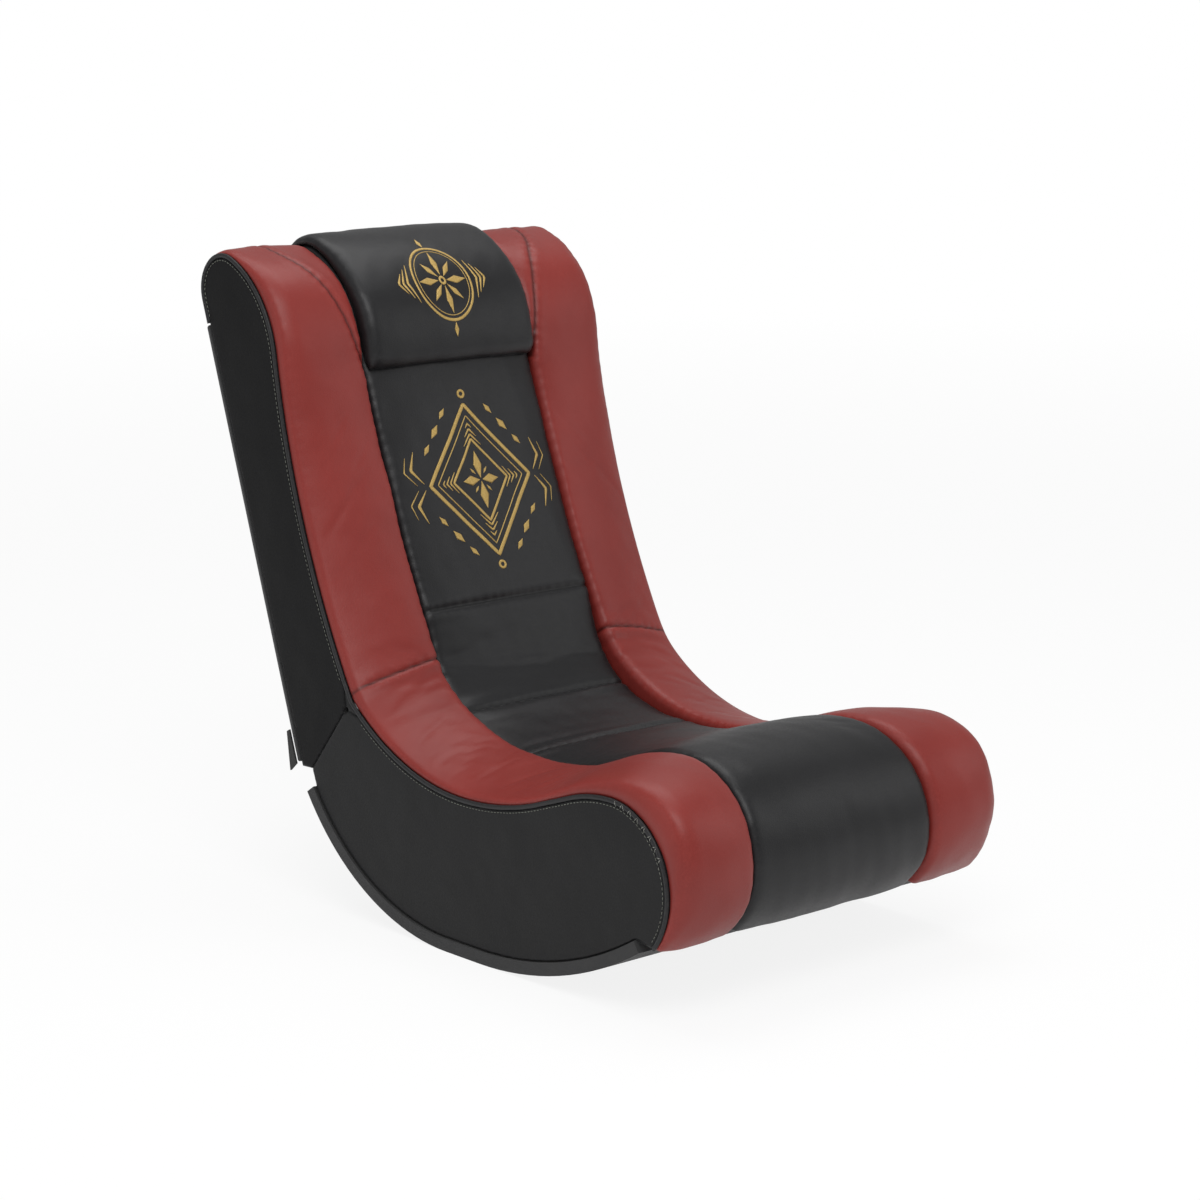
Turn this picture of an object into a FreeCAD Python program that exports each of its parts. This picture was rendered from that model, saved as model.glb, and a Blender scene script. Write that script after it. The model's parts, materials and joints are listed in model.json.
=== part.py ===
import FreeCAD, Part
import Sketcher
import math
import os

# Folding gaming rocker chair, legless, in millimetres.
# X runs across the chair, Y from the nose of the seat to the rear of the back, Z up.
# The sitter faces -Y, so the sitter's left is +X. The origin is on the floor, in the
# middle of the chair's length and width. Angles are in degrees in the Y-Z plane, from +Y to +Z.

os.makedirs("parts", exist_ok=True)
doc = FreeCAD.newDocument("gaming_rocker_chair")

SIZES = [
    # widths, from the middle plane
    ("half_width", 240.0),
    ("skin_thick", 1.5),
    ("seat_board_thick", 15.0),
    ("back_board_thick", 9.0),
    ("strip_half", 126.0),
    ("core_half", 214.0),
    ("sole_half", 242.5),
    # upper edge of the seat's side, from the fold forward to the nose
    ("dip_y", -62.0),
    ("dip_z", 176.0),
    ("dip_rear_radius", 300.0),
    ("dip_front_radius", 385.0),
    ("ramp_start_y", -187.0),
    ("ramp_run", 53.0),
    ("crest_radius", 191.0),
    ("nose_radius", 87.0),
    ("nose_end_angle", 221.0),
    # fold between seat and back
    ("fold_y", 137.5),
    ("split_angle", -51.2),
    ("split_length", 118.0),
    ("split_gap", 1.0),
    ("pivot_depth", 14.0),
    ("relief_seat_angle", 186.0),
    ("relief_back_angle", 87.5),
    ("relief_seat_reach", 128.0),
    ("relief_back_reach", 152.0),
    ("relief_gap_angle", 0.4),
    ("corner_relief", 4.0),
    ("pad_relief", 12.0),
    # front edge, top and rear of the back's side
    ("shoulder_y", 270.0),
    ("shoulder_z", 630.0),
    ("back_radius", 1075.0),
    ("corner_radius", 134.0),
    ("corner_end_angle", 113.0),
    ("top_radius", 40.0),
    ("rear_lean", 18.3),
    ("rear_wrap", 30.0),
    ("back_foot_z", 160.0),
    # rocker sole
    ("flat_front_y", -90.0),
    ("flat_rear_y", -33.0),
    ("sole_front_radius", 492.0),
    ("sole_rear_radius", 303.0),
    ("sole_front_angle", 31.6),
    ("sole_rear_angle", 55.8),
    ("sole_cover_thick", 2.0),
    ("sole_board_thick", 12.0),
    # rails and panels
    ("rail_thick", 16.0),
    ("front_rail_thick", 40.0),
    ("back_rail_thick", 12.0),
    ("foam_gap", 110.0),
    ("front_rail_y", -264.0),
    ("rail_start", 24.0),
    ("rail_end", 96.0),
    ("upper_rail_width", 45.0),
    ("top_rail_start", 33.0),
    ("middle_rail_start", 235.0),
    ("rear_panel_thick", 7.5),
    ("rear_panel_half", 237.5),
    ("rear_cover_thick", 2.5),
    ("rear_panel_top", 33.0),
    ("strap_width", 50.0),
    ("strap_thick", 1.5),
    # upholstery
    ("seat_pad_depth", 15.0),
    ("back_pad_depth", 5.0),
    ("pad_clearance", 1.5),
    ("piping_thick", 2.4),
    ("piping_below", 1.4),
    ("piping_above", 3.4),
    ("panel_drop", 1.6),
    ("tab_thick", 2.4),
    # hinge
    ("plate_thick", 3.0),
    ("back_plate_thick", 2.8),
    ("ear_radius", 11.0),
    ("ear_pocket_radius", 12.5),
    ("ear_pocket_depth", 6.2),
    ("arm_half", 9.0),
    ("arm_length", 84.0),
    ("seat_arm_angle", 235.0),
    ("back_arm_angle", 45.0),
    ("pin_radius", 4.0),
    ("pin_clearance", 0.06),
    ("pin_head_radius", 7.0),
    ("pin_head_thick", 2.4),
]

sheet = doc.addObject("Spreadsheet::Sheet", "Sizes")
for row, (alias, value) in enumerate(SIZES, start=1):
    sheet.set("A%d" % row, alias)
    sheet.set("B%d" % row, str(value))
    sheet.setAlias("B%d" % row, alias)
doc.recompute()


def size(alias):
    return float(sheet.get(alias))


def polar(centre, radius, angle):
    a = math.radians(angle)
    return (centre[0] + radius * math.cos(a), centre[1] + radius * math.sin(a))


def angle_of(centre, point):
    return math.degrees(math.atan2(point[1] - centre[1], point[0] - centre[0]))


def vec(x, point):
    return FreeCAD.Vector(x, point[0], point[1])


# An edge line is a chain of arcs and straight runs in the side view.
# Offsets are measured from it towards the side that the upholstery lies on.


class ArcRun:
    def __init__(self, centre, radius, start, end, outward):
        self.centre = centre
        self.radius = radius
        self.start = start
        self.end = end
        self.outward = outward
        self.length = radius * abs(math.radians(end - start))

    def at(self, fraction, offset=0.0):
        angle = self.start + (self.end - self.start) * fraction
        return polar(self.centre, self.radius + self.outward * offset, angle)

    def normal(self, fraction):
        angle = self.start + (self.end - self.start) * fraction
        return polar((0.0, 0.0), self.outward, angle)

    def piece(self, f0, f1, offset):
        middle = self.at((f0 + f1) / 2, offset)
        return ("arc", self.at(f0, offset), middle, self.at(f1, offset))


class LineRun:
    def __init__(self, start, end, normal_angle):
        self.p = start
        self.q = end
        self.n = polar((0.0, 0.0), 1.0, normal_angle)
        self.length = math.dist(start, end)

    def at(self, fraction, offset=0.0):
        y = self.p[0] + (self.q[0] - self.p[0]) * fraction + self.n[0] * offset
        z = self.p[1] + (self.q[1] - self.p[1]) * fraction + self.n[1] * offset
        return (y, z)

    def normal(self, fraction):
        return self.n

    def piece(self, f0, f1, offset):
        return ("line", self.at(f0, offset), self.at(f1, offset))


class EdgeLine:
    def __init__(self, runs):
        self.runs = runs
        self.starts = [sum(r.length for r in runs[:i]) for i in range(len(runs))]
        self.length = sum(r.length for r in runs)

    def locate(self, s):
        for run, start in zip(reversed(self.runs), reversed(self.starts)):
            if s >= start:
                return run, min(1.0, (s - start) / run.length)
        return self.runs[0], 0.0

    def at(self, s, offset=0.0):
        run, fraction = self.locate(s)
        return run.at(fraction, offset)

    def normal(self, s, blur=6.0):
        ny = nz = 0.0
        for probe in (max(0.0, s - blur), min(self.length, s + blur)):
            run, fraction = self.locate(probe)
            n = run.normal(fraction)
            ny += n[0]
            nz += n[1]
        scale = math.hypot(ny, nz)
        return (ny / scale, nz / scale)

    def pieces(self, s0, s1, offset=0.0):
        found = []
        for run, start in zip(self.runs, self.starts):
            f0 = max(0.0, (s0 - start) / run.length)
            f1 = min(1.0, (s1 - start) / run.length)
            if f1 - f0 > 1e-6:
                found.append(run.piece(f0, f1, offset))
        return found

    def crossing(self, origin, angle, low, high):
        ray = polar((0.0, 0.0), 1.0, angle)

        def side(s):
            p = self.at(s)
            return ray[0] * (p[1] - origin[1]) - ray[1] * (p[0] - origin[0])

        sign = side(low)
        for _ in range(60):
            middle = (low + high) / 2
            if side(middle) * sign > 0:
                low = middle
            else:
                high = middle
        return (low + high) / 2


def reverse(pieces):
    return [(p[0],) + tuple(reversed(p[1:])) for p in reversed(pieces)]


def joined(*parts):
    """A closed outline: the given pieces and points in turn, with lines between them."""
    chain = []
    for part in parts:
        for item in [("point", part)] if isinstance(part, tuple) else part:
            first = item[1]
            if chain and math.dist(chain[-1][-1], first) > 1e-6:
                chain.append(("line", chain[-1][-1], first))
            if item[0] != "point":
                chain.append(item)
            elif not chain:
                chain.append(("point", first))
    if chain[0][0] == "point":
        chain = chain[1:]
    if math.dist(chain[-1][-1], chain[0][1]) > 1e-6:
        chain.append(("line", chain[-1][-1], chain[0][1]))
    return chain


def outline_face(outline, x=0.0):
    edges = []
    for item in outline:
        if item[0] == "arc":
            edges.append(Part.Arc(vec(x, item[1]), vec(x, item[2]), vec(x, item[3])).toShape())
        else:
            edges.append(Part.LineSegment(vec(x, item[1]), vec(x, item[2])).toShape())
    return Part.Face(Part.Wire(edges))


def prism(outline, x0, x1):
    return outline_face(outline, x0).extrude(FreeCAD.Vector(x1 - x0, 0, 0))


# Seat edge line, from under the nose to the fold
dip = (size("dip_y"), size("dip_z"))
dip_rear_centre = (dip[0], dip[1] + size("dip_rear_radius"))
dip_front_centre = (dip[0], dip[1] + size("dip_front_radius"))
ramp_slope = math.degrees(math.asin((dip[0] - size("ramp_start_y")) / size("dip_front_radius")))
ramp_low = polar(dip_front_centre, size("dip_front_radius"), 270 - ramp_slope)
ramp_high = polar(ramp_low, size("ramp_run"), 180 - ramp_slope)
crest_centre = polar(ramp_high, -size("crest_radius"), 90 - ramp_slope)
crest_top = polar(crest_centre, size("crest_radius"), 90)
nose_centre = (crest_top[0], crest_top[1] - size("nose_radius"))
fold_reach = size("fold_y") - dip[0]
fold_angle = 270 + math.degrees(math.asin(fold_reach / size("dip_rear_radius")))
fold_corner = polar(dip_rear_centre, size("dip_rear_radius"), fold_angle)

seat_runs = [
    ArcRun(nose_centre, size("nose_radius"), size("nose_end_angle"), 90, 1),
    ArcRun(crest_centre, size("crest_radius"), 90, 90 - ramp_slope, 1),
    LineRun(ramp_high, ramp_low, 90 - ramp_slope),
    ArcRun(dip_front_centre, size("dip_front_radius"), 270 - ramp_slope, 270, -1),
    ArcRun(dip_rear_centre, size("dip_rear_radius"), 270, fold_angle, -1),
]

# Back edge line, from the fold over the top to the rear
shoulder = (size("shoulder_y"), size("shoulder_z"))
chord = math.dist(fold_corner, shoulder)
sagitta_side = math.sqrt(size("back_radius") ** 2 - chord ** 2 / 4)
chord_middle = ((fold_corner[0] + shoulder[0]) / 2, (fold_corner[1] + shoulder[1]) / 2)
back_centre = polar(chord_middle, sagitta_side, angle_of(fold_corner, shoulder) + 90)
shoulder_angle = angle_of(back_centre, shoulder)
corner_centre = polar(shoulder, size("corner_radius"), shoulder_angle)
corner_end = polar(corner_centre, size("corner_radius"), size("corner_end_angle"))
top_centre = polar(corner_end, -size("top_radius"), size("corner_end_angle"))
rear_start = polar(top_centre, size("top_radius"), -size("rear_lean"))
rear_down = 270 - size("rear_lean")
back_runs = [
    ArcRun(back_centre, size("back_radius"), angle_of(back_centre, fold_corner), shoulder_angle, -1),
    ArcRun(corner_centre, size("corner_radius"), 180 + shoulder_angle, size("corner_end_angle"), 1),
    ArcRun(top_centre, size("top_radius"), size("corner_end_angle"), -size("rear_lean"), 1),
    LineRun(rear_start, polar(rear_start, size("rear_wrap"), rear_down), -size("rear_lean")),
]
edge = EdgeLine(seat_runs + back_runs)
seat_length = sum(run.length for run in seat_runs)

# Pivot on the split plane, and the two relief planes through it
pivot = polar(fold_corner, size("pivot_depth"), size("split_angle"))
split_left = size("split_length") - size("pivot_depth")
seat_cut = edge.crossing(pivot, size("relief_seat_angle"), seat_length - 90, seat_length)
back_cut = edge.crossing(pivot, size("relief_back_angle"), seat_length, seat_length + 90)


def by_split(along, aside):
    """A point at a distance along the split plane from the pivot, and aside towards the seat."""
    return polar(polar(pivot, along, size("split_angle")), aside, size("split_angle") - 90)


def by_rear(down, inward):
    """A point down the rear line of the back, and inward from it."""
    return polar(polar(rear_start, down, rear_down), inward, 180 - size("rear_lean"))


# Sole line, from the front to the rear, with offsets measured upward
sole_front_centre = (size("flat_front_y"), size("sole_front_radius"))
sole_rear_centre = (size("flat_rear_y"), size("sole_rear_radius"))
sole = EdgeLine(
    [
        ArcRun(sole_front_centre, size("sole_front_radius"), 270 - size("sole_front_angle"), 270, -1),
        LineRun((size("flat_front_y"), 0.0), (size("flat_rear_y"), 0.0), 90),
        ArcRun(sole_rear_centre, size("sole_rear_radius"), 270, 270 + size("sole_rear_angle"), -1),
    ]
)
sole_top = size("sole_cover_thick") + size("sole_board_thick")


def sole_run(offset, y_from=None, y_to=None):
    """The sole line at an offset, cut between two places along the chair."""

    def find(y):
        low = 0.0
        high = sole.length
        for _ in range(60):
            middle = (low + high) / 2
            if sole.at(middle, offset)[0] < y:
                low = middle
            else:
                high = middle
        return low

    s0 = 0.0 if y_from is None else find(y_from)
    s1 = sole.length if y_to is None else find(y_to)
    return sole.pieces(s0, s1, offset)


# Kinds of piece


def origin_plane(body, role):
    for feature in body.Origin.OriginFeatures:
        if feature.Role == role:
            return feature


def draw(sketch, outline):
    """Adds a closed outline whose start points and radii are all dimensioned."""
    first = sketch.GeometryCount
    ends = []
    for item in outline:
        points = [FreeCAD.Vector(p[0], p[1], 0) for p in item[1:]]
        forward = True
        shape = None
        if item[0] == "arc":
            circle = Part.Arc(*points).toShape().Curve
            turn = (points[1] - points[0]).cross(points[2] - points[1])
            forward = turn.z > 0
            low, high = (points[0], points[2]) if forward else (points[2], points[0])
            angles = [math.atan2(p.y - circle.Center.y, p.x - circle.Center.x) for p in (low, high)]
            if angles[1] < angles[0]:
                angles[1] += 2 * math.pi
            round_line = Part.Circle(circle.Center, FreeCAD.Vector(0, 0, 1), circle.Radius)
            shape = Part.ArcOfCircle(round_line, angles[0], angles[1])
        else:
            shape = Part.LineSegment(*points)
        sketch.addGeometry(shape, False)
        ends.append((1, 2) if forward else (2, 1))
    for i, item in enumerate(outline):
        here = first + i
        following = (i + 1) % len(outline)
        meet = ("Coincident", here, ends[i][1], first + following, ends[following][0])
        sketch.addConstraint(Sketcher.Constraint(*meet))
        sketch.addConstraint(Sketcher.Constraint("DistanceX", here, ends[i][0], item[1][0]))
        sketch.addConstraint(Sketcher.Constraint("DistanceY", here, ends[i][0], item[1][1]))
        if item[0] == "arc":
            sketch.addConstraint(Sketcher.Constraint("Radius", here, sketch.Geometry[here].Radius))


def pivot_circle(sketch, radius):
    """Adds a circle at the pivot, with an expression on the sheet for its radius."""
    round_line = Part.Circle(FreeCAD.Vector(*pivot, 0), FreeCAD.Vector(0, 0, 1), size("pin_radius"))
    index = sketch.addGeometry(round_line, False)
    sketch.addConstraint(Sketcher.Constraint("DistanceX", index, 3, pivot[0]))
    sketch.addConstraint(Sketcher.Constraint("DistanceY", index, 3, pivot[1]))
    bound = sketch.addConstraint(Sketcher.Constraint("Radius", index, size("pin_radius")))
    sketch.setExpression("Constraints[%d]" % bound, radius)


def side_sketch(body, name):
    sketch = body.newObject("Sketcher::SketchObject", name)
    sketch.AttachmentSupport = [(origin_plane(body, "YZ_Plane"), "")]
    sketch.MapMode = "FlatFace"
    return sketch


def plate(label, side, face, thickness, outline, pocket=None):
    """A flat piece: an outline in the side view, padded away from the middle plane.

    face and thickness are expressions on the sheet. pocket is (radius alias, depth alias) of a
    round hollow sunk in the inner face at the pivot.
    """
    body = doc.addObject("PartDesign::Body", label)
    body.Label = label
    sketch = side_sketch(body, label + "_outline")
    draw(sketch, outline)
    pad = body.newObject("PartDesign::Pad", label + "_pad")
    pad.Profile = sketch
    pad.Reversed = side < 0
    pad.setExpression("Length", thickness)
    if pocket:
        doc.recompute()
        hollow = side_sketch(body, label + "_hollow")
        pivot_circle(hollow, "Sizes." + pocket[0])
        before = body.Shape.Volume
        sunk = body.newObject("PartDesign::Pocket", label + "_pocket")
        sunk.Profile = hollow
        sunk.Reversed = side > 0
        sunk.setExpression("Length", "Sizes." + pocket[1])
        doc.recompute()
        if body.Shape.Volume >= before:
            raise RuntimeError("pocket cut nothing in " + label)
    body.setExpression("Placement.Base.x", ("" if side > 0 else "-") + "(" + face + ")")
    return body


def beam(label, half, outline):
    """A piece that runs right across the chair, with the same outline all along."""
    body = doc.addObject("PartDesign::Body", label)
    body.Label = label
    sketch = side_sketch(body, label + "_outline")
    draw(sketch, outline)
    pad = body.newObject("PartDesign::Pad", label + "_pad")
    pad.Profile = sketch
    pad.setExpression("Length", "2 * (" + half + ")")
    body.setExpression("Placement.Base.x", "-(" + half + ")")
    return body


def feature(label, shape):
    piece = doc.addObject("Part::Feature", label)
    piece.Label = label
    piece.Shape = shape
    piece.Placement = FreeCAD.Placement()
    return piece


# Side boards and side panels


def relief_arc(start_angle, end_angle):
    """The rounded corner that a piece has at the pivot."""
    radius = size("corner_relief")
    points = [polar(pivot, radius, a) for a in (start_angle, (start_angle + end_angle) / 2, end_angle)]
    return [("arc",) + tuple(points)]


def seat_side(drop, sole_gap):
    split = size("split_angle") + 360
    return joined(
        edge.pieces(0.0, seat_cut, -drop),
        relief_arc(size("relief_seat_angle"), split),
        by_split(split_left, 0.0),
        reverse(sole_run(sole_top + sole_gap, y_to=by_split(split_left, 0.0)[0] - 9)),
    )


def back_side(drop):
    wrap = edge.length - size("rear_wrap")
    foot = (rear_start[1] - size("back_foot_z")) / math.cos(math.radians(size("rear_lean")))
    return joined(
        edge.pieces(back_cut, wrap, -drop),
        by_rear(foot, drop),
        by_split(split_left, -size("split_gap")),
        relief_arc(size("split_angle") + 14, size("relief_back_angle")),
    )


gusset_outline = joined(
    edge.pieces(seat_cut, back_cut, -size("panel_drop")),
    reverse(relief_arc(size("relief_seat_angle"), size("relief_back_angle") + size("relief_gap_angle"))),
)
for name, side in (("right", -1), ("left", 1)):
    plate(
        "seat_side_board_" + name,
        side,
        "Sizes.half_width - Sizes.skin_thick - Sizes.seat_board_thick",
        "Sizes.seat_board_thick",
        seat_side(0.0, 0.0),
        pocket=("ear_pocket_radius", "ear_pocket_depth"),
    )
    plate(
        "back_side_board_" + name,
        side,
        "Sizes.half_width - Sizes.skin_thick - Sizes.back_board_thick",
        "Sizes.back_board_thick",
        back_side(0.0),
    )
    panel_face = "Sizes.half_width - Sizes.skin_thick"
    plate("seat_side_panel_" + name, side, panel_face, "Sizes.skin_thick", seat_side(size("panel_drop"), 1.0))
    plate("back_side_panel_" + name, side, panel_face, "Sizes.skin_thick", back_side(size("panel_drop")))
    plate("fold_gusset_" + name, side, panel_face, "Sizes.skin_thick", gusset_outline)

# Cross rails, foam blocks and the sole

board_inner = "Sizes.half_width - Sizes.skin_thick - Sizes.seat_board_thick"
back_inner = "Sizes.half_width - Sizes.skin_thick - Sizes.back_board_thick"
rail = size("rail_thick")
back_rail = size("back_rail_thick")
under_pad = size("seat_pad_depth") + size("pad_clearance")
front_y = size("front_rail_y")
rear_y = front_y + size("front_rail_thick")


def edge_place(y, offset, low, high):
    """How far along the edge line a point at this offset lies at a place along the chair."""
    sign = edge.at(low, offset)[0] < y
    for _ in range(60):
        middle = (low + high) / 2
        if (edge.at(middle, offset)[0] < y) == sign:
            low = middle
        else:
            high = middle
    return low


nose_top = seat_runs[0].length
rail_front_s = edge_place(front_y - 0.5, -under_pad, nose_top * 0.6, seat_length)
rail_rear_s = edge_place(rear_y + 0.5, -under_pad, nose_top * 0.6, seat_length)
above_sole = sole_top + size("pad_clearance")
sole_front = sole.at(0.0, sole_top)

beam(
    "seat_front_rail",
    board_inner,
    joined(
        reverse(sole_run(sole_top, front_y, rear_y)),
        (front_y, edge.at(rail_front_s, -under_pad - 2)[1]),
        (rear_y, edge.at(rail_rear_s, -under_pad - 2)[1]),
    ),
)
beam(
    "seat_rear_rail",
    board_inner,
    joined(
        by_split(size("rail_start"), 1.0),
        by_split(size("rail_end"), 1.0),
        by_split(size("rail_end"), 1.0 + rail),
        by_split(size("rail_start"), 1.0 + rail),
    ),
)
beam(
    "nose_foam",
    "Sizes.core_half",
    joined(
        edge.pieces(0.0, rail_front_s, -under_pad),
        reverse(sole_run(above_sole, y_to=front_y - 0.5)),
    ),
)
block_end = by_split(size("rail_start") - 6, rail + size("foam_gap"))
block_foot = by_split(size("rail_end") - 4, rail + size("foam_gap"))
block_top_s = edge_place(block_end[0] - 26, -under_pad, rail_rear_s, seat_length)
beam(
    "seat_foam_block",
    "Sizes.core_half",
    joined(
        edge.pieces(rail_rear_s, block_top_s, -under_pad),
        block_end,
        block_foot,
        reverse(sole_run(above_sole, rear_y + 0.5, block_foot[0] - 14)),
    ),
)
beam(
    "back_bottom_rail",
    back_inner,
    joined(
        by_split(size("rail_start"), -size("split_gap")),
        by_split(size("rail_end"), -size("split_gap")),
        by_split(size("rail_end") - 10, -size("split_gap") - back_rail),
        by_split(size("rail_start"), -size("split_gap") - back_rail),
    ),
)
for label, start in (("back_top_rail", "top_rail_start"), ("back_middle_rail", "middle_rail_start")):
    high = size(start)
    low = high + size("upper_rail_width")
    beam(
        label,
        back_inner,
        joined(by_rear(high, 0.0), by_rear(low, 0.0), by_rear(low, back_rail), by_rear(high, back_rail)),
    )

skin_end = size("sole_cover_thick")
beam(
    "rocker_sole_board",
    "Sizes.sole_half - Sizes.sole_cover_thick",
    joined(
        sole.pieces(skin_end, sole.length - skin_end, size("sole_cover_thick")),
        reverse(sole.pieces(skin_end, sole.length - skin_end, sole_top)),
    ),
)


def wrapped(label, half, outer, inner_half, inner):
    """A skin that wraps a board: the outer form with the board's form taken out."""
    body = beam(label, half, outer)
    doc.recompute()
    hollow = side_sketch(body, label + "_hollow")
    hollow.setExpression("AttachmentOffset.Base.z", half)
    draw(hollow, inner)
    before = body.Shape.Volume
    pocket = body.newObject("PartDesign::Pocket", label + "_pocket")
    pocket.Profile = hollow
    pocket.Midplane = True
    pocket.setExpression("Length", "2 * (" + inner_half + ")")
    doc.recompute()
    if body.Shape.Volume >= before:
        raise RuntimeError("pocket cut nothing in " + label)
    return body


wrapped(
    "sole_cover",
    "Sizes.sole_half",
    joined(sole.pieces(0.0, sole.length, 0.0), reverse(sole.pieces(0.0, sole.length, sole_top))),
    "Sizes.sole_half - Sizes.sole_cover_thick",
    joined(
        sole.pieces(skin_end, sole.length - skin_end, size("sole_cover_thick")),
        reverse(sole.pieces(skin_end, sole.length - skin_end, sole_top)),
    ),
)

# Rear panel of the back, its cover and the pull tab

foot_down = (rear_start[1] - size("back_foot_z")) / math.cos(math.radians(size("rear_lean")))
panel_top = size("rear_panel_top")
panel_foot = foot_down - 8.0
panel_out = size("rear_panel_thick")


def rear_box(top, foot, inner, outer):
    return joined(by_rear(top, inner), by_rear(foot, inner), by_rear(foot, outer), by_rear(top, outer))


beam("back_rear_panel", "Sizes.rear_panel_half", rear_box(panel_top, panel_foot, 0.0, -panel_out))
cover = size("rear_cover_thick")
wrapped(
    "back_rear_cover",
    "Sizes.rear_panel_half + Sizes.rear_cover_thick",
    rear_box(panel_top - cover, panel_foot + cover, 0.0, -panel_out - cover),
    "Sizes.rear_panel_half",
    rear_box(panel_top, panel_foot, 0.0, -panel_out),
)
tab_top = panel_foot - 36.0
tab_out = -panel_out - cover
plate(
    "pull_tab",
    -1,
    "Sizes.rear_panel_half + Sizes.rear_cover_thick",
    "Sizes.tab_thick",
    joined(
        by_rear(tab_top, tab_out + 3),
        by_rear(tab_top + 1, tab_out - 2),
        by_rear(tab_top + 46, tab_out - 11),
        by_rear(tab_top + 40, tab_out + 3),
    ),
)

# Elastic webbing straps behind the back pads


def strap(s):
    half = size("strap_width") / 2
    under = size("back_pad_depth") + size("pad_clearance")
    outline = joined(
        edge.pieces(s - half, s + half, -under),
        reverse(edge.pieces(s - half, s + half, -under - size("strap_thick"))),
    )
    reach = size("half_width") - size("skin_thick") - size("back_board_thick")
    return prism(outline, -reach, reach)


strap_first = back_cut + 96.0
strap_pitch = 76.0
feature("back_webbing_straps", Part.makeCompound([strap(strap_first + i * strap_pitch) for i in range(4)]))

# Upholstery pads, lofted along the edge line

ends = [start + run.length for start, run in zip(edge.starts, edge.runs)]
s_crest, s_ramp_high, s_ramp_low, s_dip, s_fold, s_shoulder, s_corner, s_rear = ends[:8]
s_crease = s_fold - 62.0


def s_nose(angle):
    return size("nose_radius") * math.radians(size("nose_end_angle") - angle)


def s_back(z):
    angle = math.degrees(math.asin((z - back_centre[1]) / size("back_radius")))
    return s_fold + size("back_radius") * math.radians(angle - back_runs[0].start)


s_chin = s_nose(192.0)
s_front = s_nose(167.0)
s_brow = s_nose(136.0)
s_lumbar = s_back(324.0)
s_middle = s_back(455.0)
s_upper = s_back(560.0)
s_head = s_back(603.0)
s_turn = (s_shoulder + s_corner) / 2

# Heights of the upholstery above the edge line, as (place, height)
SIDE_CROWN = [
    (0.0, 4.0), (s_chin, 16.0), (s_front, 32.5), (s_brow, 43.0), (s_crest, 23.0), (s_ramp_low, 11.0),
    (s_dip, 13.0), (s_lumbar, 21.0), (s_shoulder, 23.0), (s_turn, 25.0), (s_corner, 6.5), (s_rear, 4.5),
    (edge.length, 4.0),
]
INNER_CROWN = [
    (0.0, 6.0), (s_chin, 22.0), (s_front, 28.0), (s_brow, 35.0), (s_crest, 32.0), (s_ramp_low, 28.0),
    (s_dip, 35.0), (s_crease, 36.0), (s_fold, 39.0), (s_lumbar, 40.0), (s_middle, 37.0), (s_upper, 26.0),
    (s_shoulder, 20.0), (s_turn, 18.0), (s_corner, 5.5), (s_rear, 4.5), (edge.length, 4.0),
]
STRIP_CROWN = [
    (0.0, 5.0), (s_chin, 20.0), (s_front, 25.0), (s_brow, 31.0), (s_crest, 31.0), (s_dip, 29.0),
    (s_crease, 17.0), (s_lumbar, 36.0), (s_middle, 34.0), (s_upper, 24.0), (s_head - 6, 18.0),
    (s_head + 14, 9.0), (s_corner, 6.0), (s_rear, 3.0), (edge.length, 1.0),
]
HEAD_CROWN = [
    (s_head, 22.0), (s_head + 5, 29.0), (s_head + 16, 33.5), (s_head + 60, 34.0), (s_corner, 21.0),
    (s_rear, 6.5), (edge.length, 3.5),
]
STRIP_HALF = [(0.0, 136.0), (s_front, 135.0), (s_crest, size("strip_half")), (edge.length, size("strip_half"))]


def along(knots, s):
    """A smooth height between the knots (place, height)."""
    for (s0, h0), (s1, h1) in zip(knots, knots[1:]):
        if s <= s1:
            t = max(0.0, (s - s0) / (s1 - s0))
            return h0 + (h1 - h0) * (3 * t * t - 2 * t ** 3)
    return knots[-1][1]


def pad_depth(s):
    return along([(0.0, size("seat_pad_depth")), (s_fold, size("seat_pad_depth")),
                  (s_fold + 40, size("back_pad_depth")), (edge.length, size("back_pad_depth"))], s)


class Section:
    """A closed wire in the plane across the edge line, drawn in width and height above it."""

    def __init__(self, s, side=1):
        self.foot = edge.at(s)
        self.up = edge.normal(s)
        self.side = side
        self.edges = []

    def point(self, p):
        y = self.foot[0] + self.up[0] * p[1]
        z = self.foot[1] + self.up[1] * p[1]
        return FreeCAD.Vector(self.side * p[0], y, z)

    def line(self, p, q):
        self.edges.append(Part.LineSegment(self.point(p), self.point(q)).toShape())

    def lines(self, *points):
        for p, q in zip(points, points[1:]):
            self.line(p, q)

    def arc(self, p, m, q):
        self.edges.append(Part.Arc(self.point(p), self.point(m), self.point(q)).toShape())

    def wire(self):
        return Part.Wire(self.edges)


def bolster_section(s, side):
    low = size("pad_clearance")
    outer = along(SIDE_CROWN, s)
    inner = along(INNER_CROWN, s)
    wall = along(STRIP_HALF, s) + 0.3
    floor = -pad_depth(s)
    core = size("core_half")
    rim = size("half_width") - 2.6
    section = Section(s, side)
    turn = min(9.0, 0.8 * outer)
    bulge = (rim + 1.0, (low + outer) / 2)
    section.lines((rim, low), bulge, (rim - 0.25 * turn, outer - 0.27 * turn), (rim - turn, outer))
    top = rim - turn - wall - 4
    section.lines(
        (rim - turn, outer),
        (wall + 4 + 0.68 * top, inner + 0.68 * (outer - inner) + 2.8),
        (wall + 4 + 0.32 * top, inner + 0.32 * (outer - inner) + 2.8),
        (wall + 4, inner),
    )
    section.lines((wall + 4, inner), (wall, inner - 4), (wall, floor), (core, floor), (core, low), (rim, low))
    return section.wire()


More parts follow.
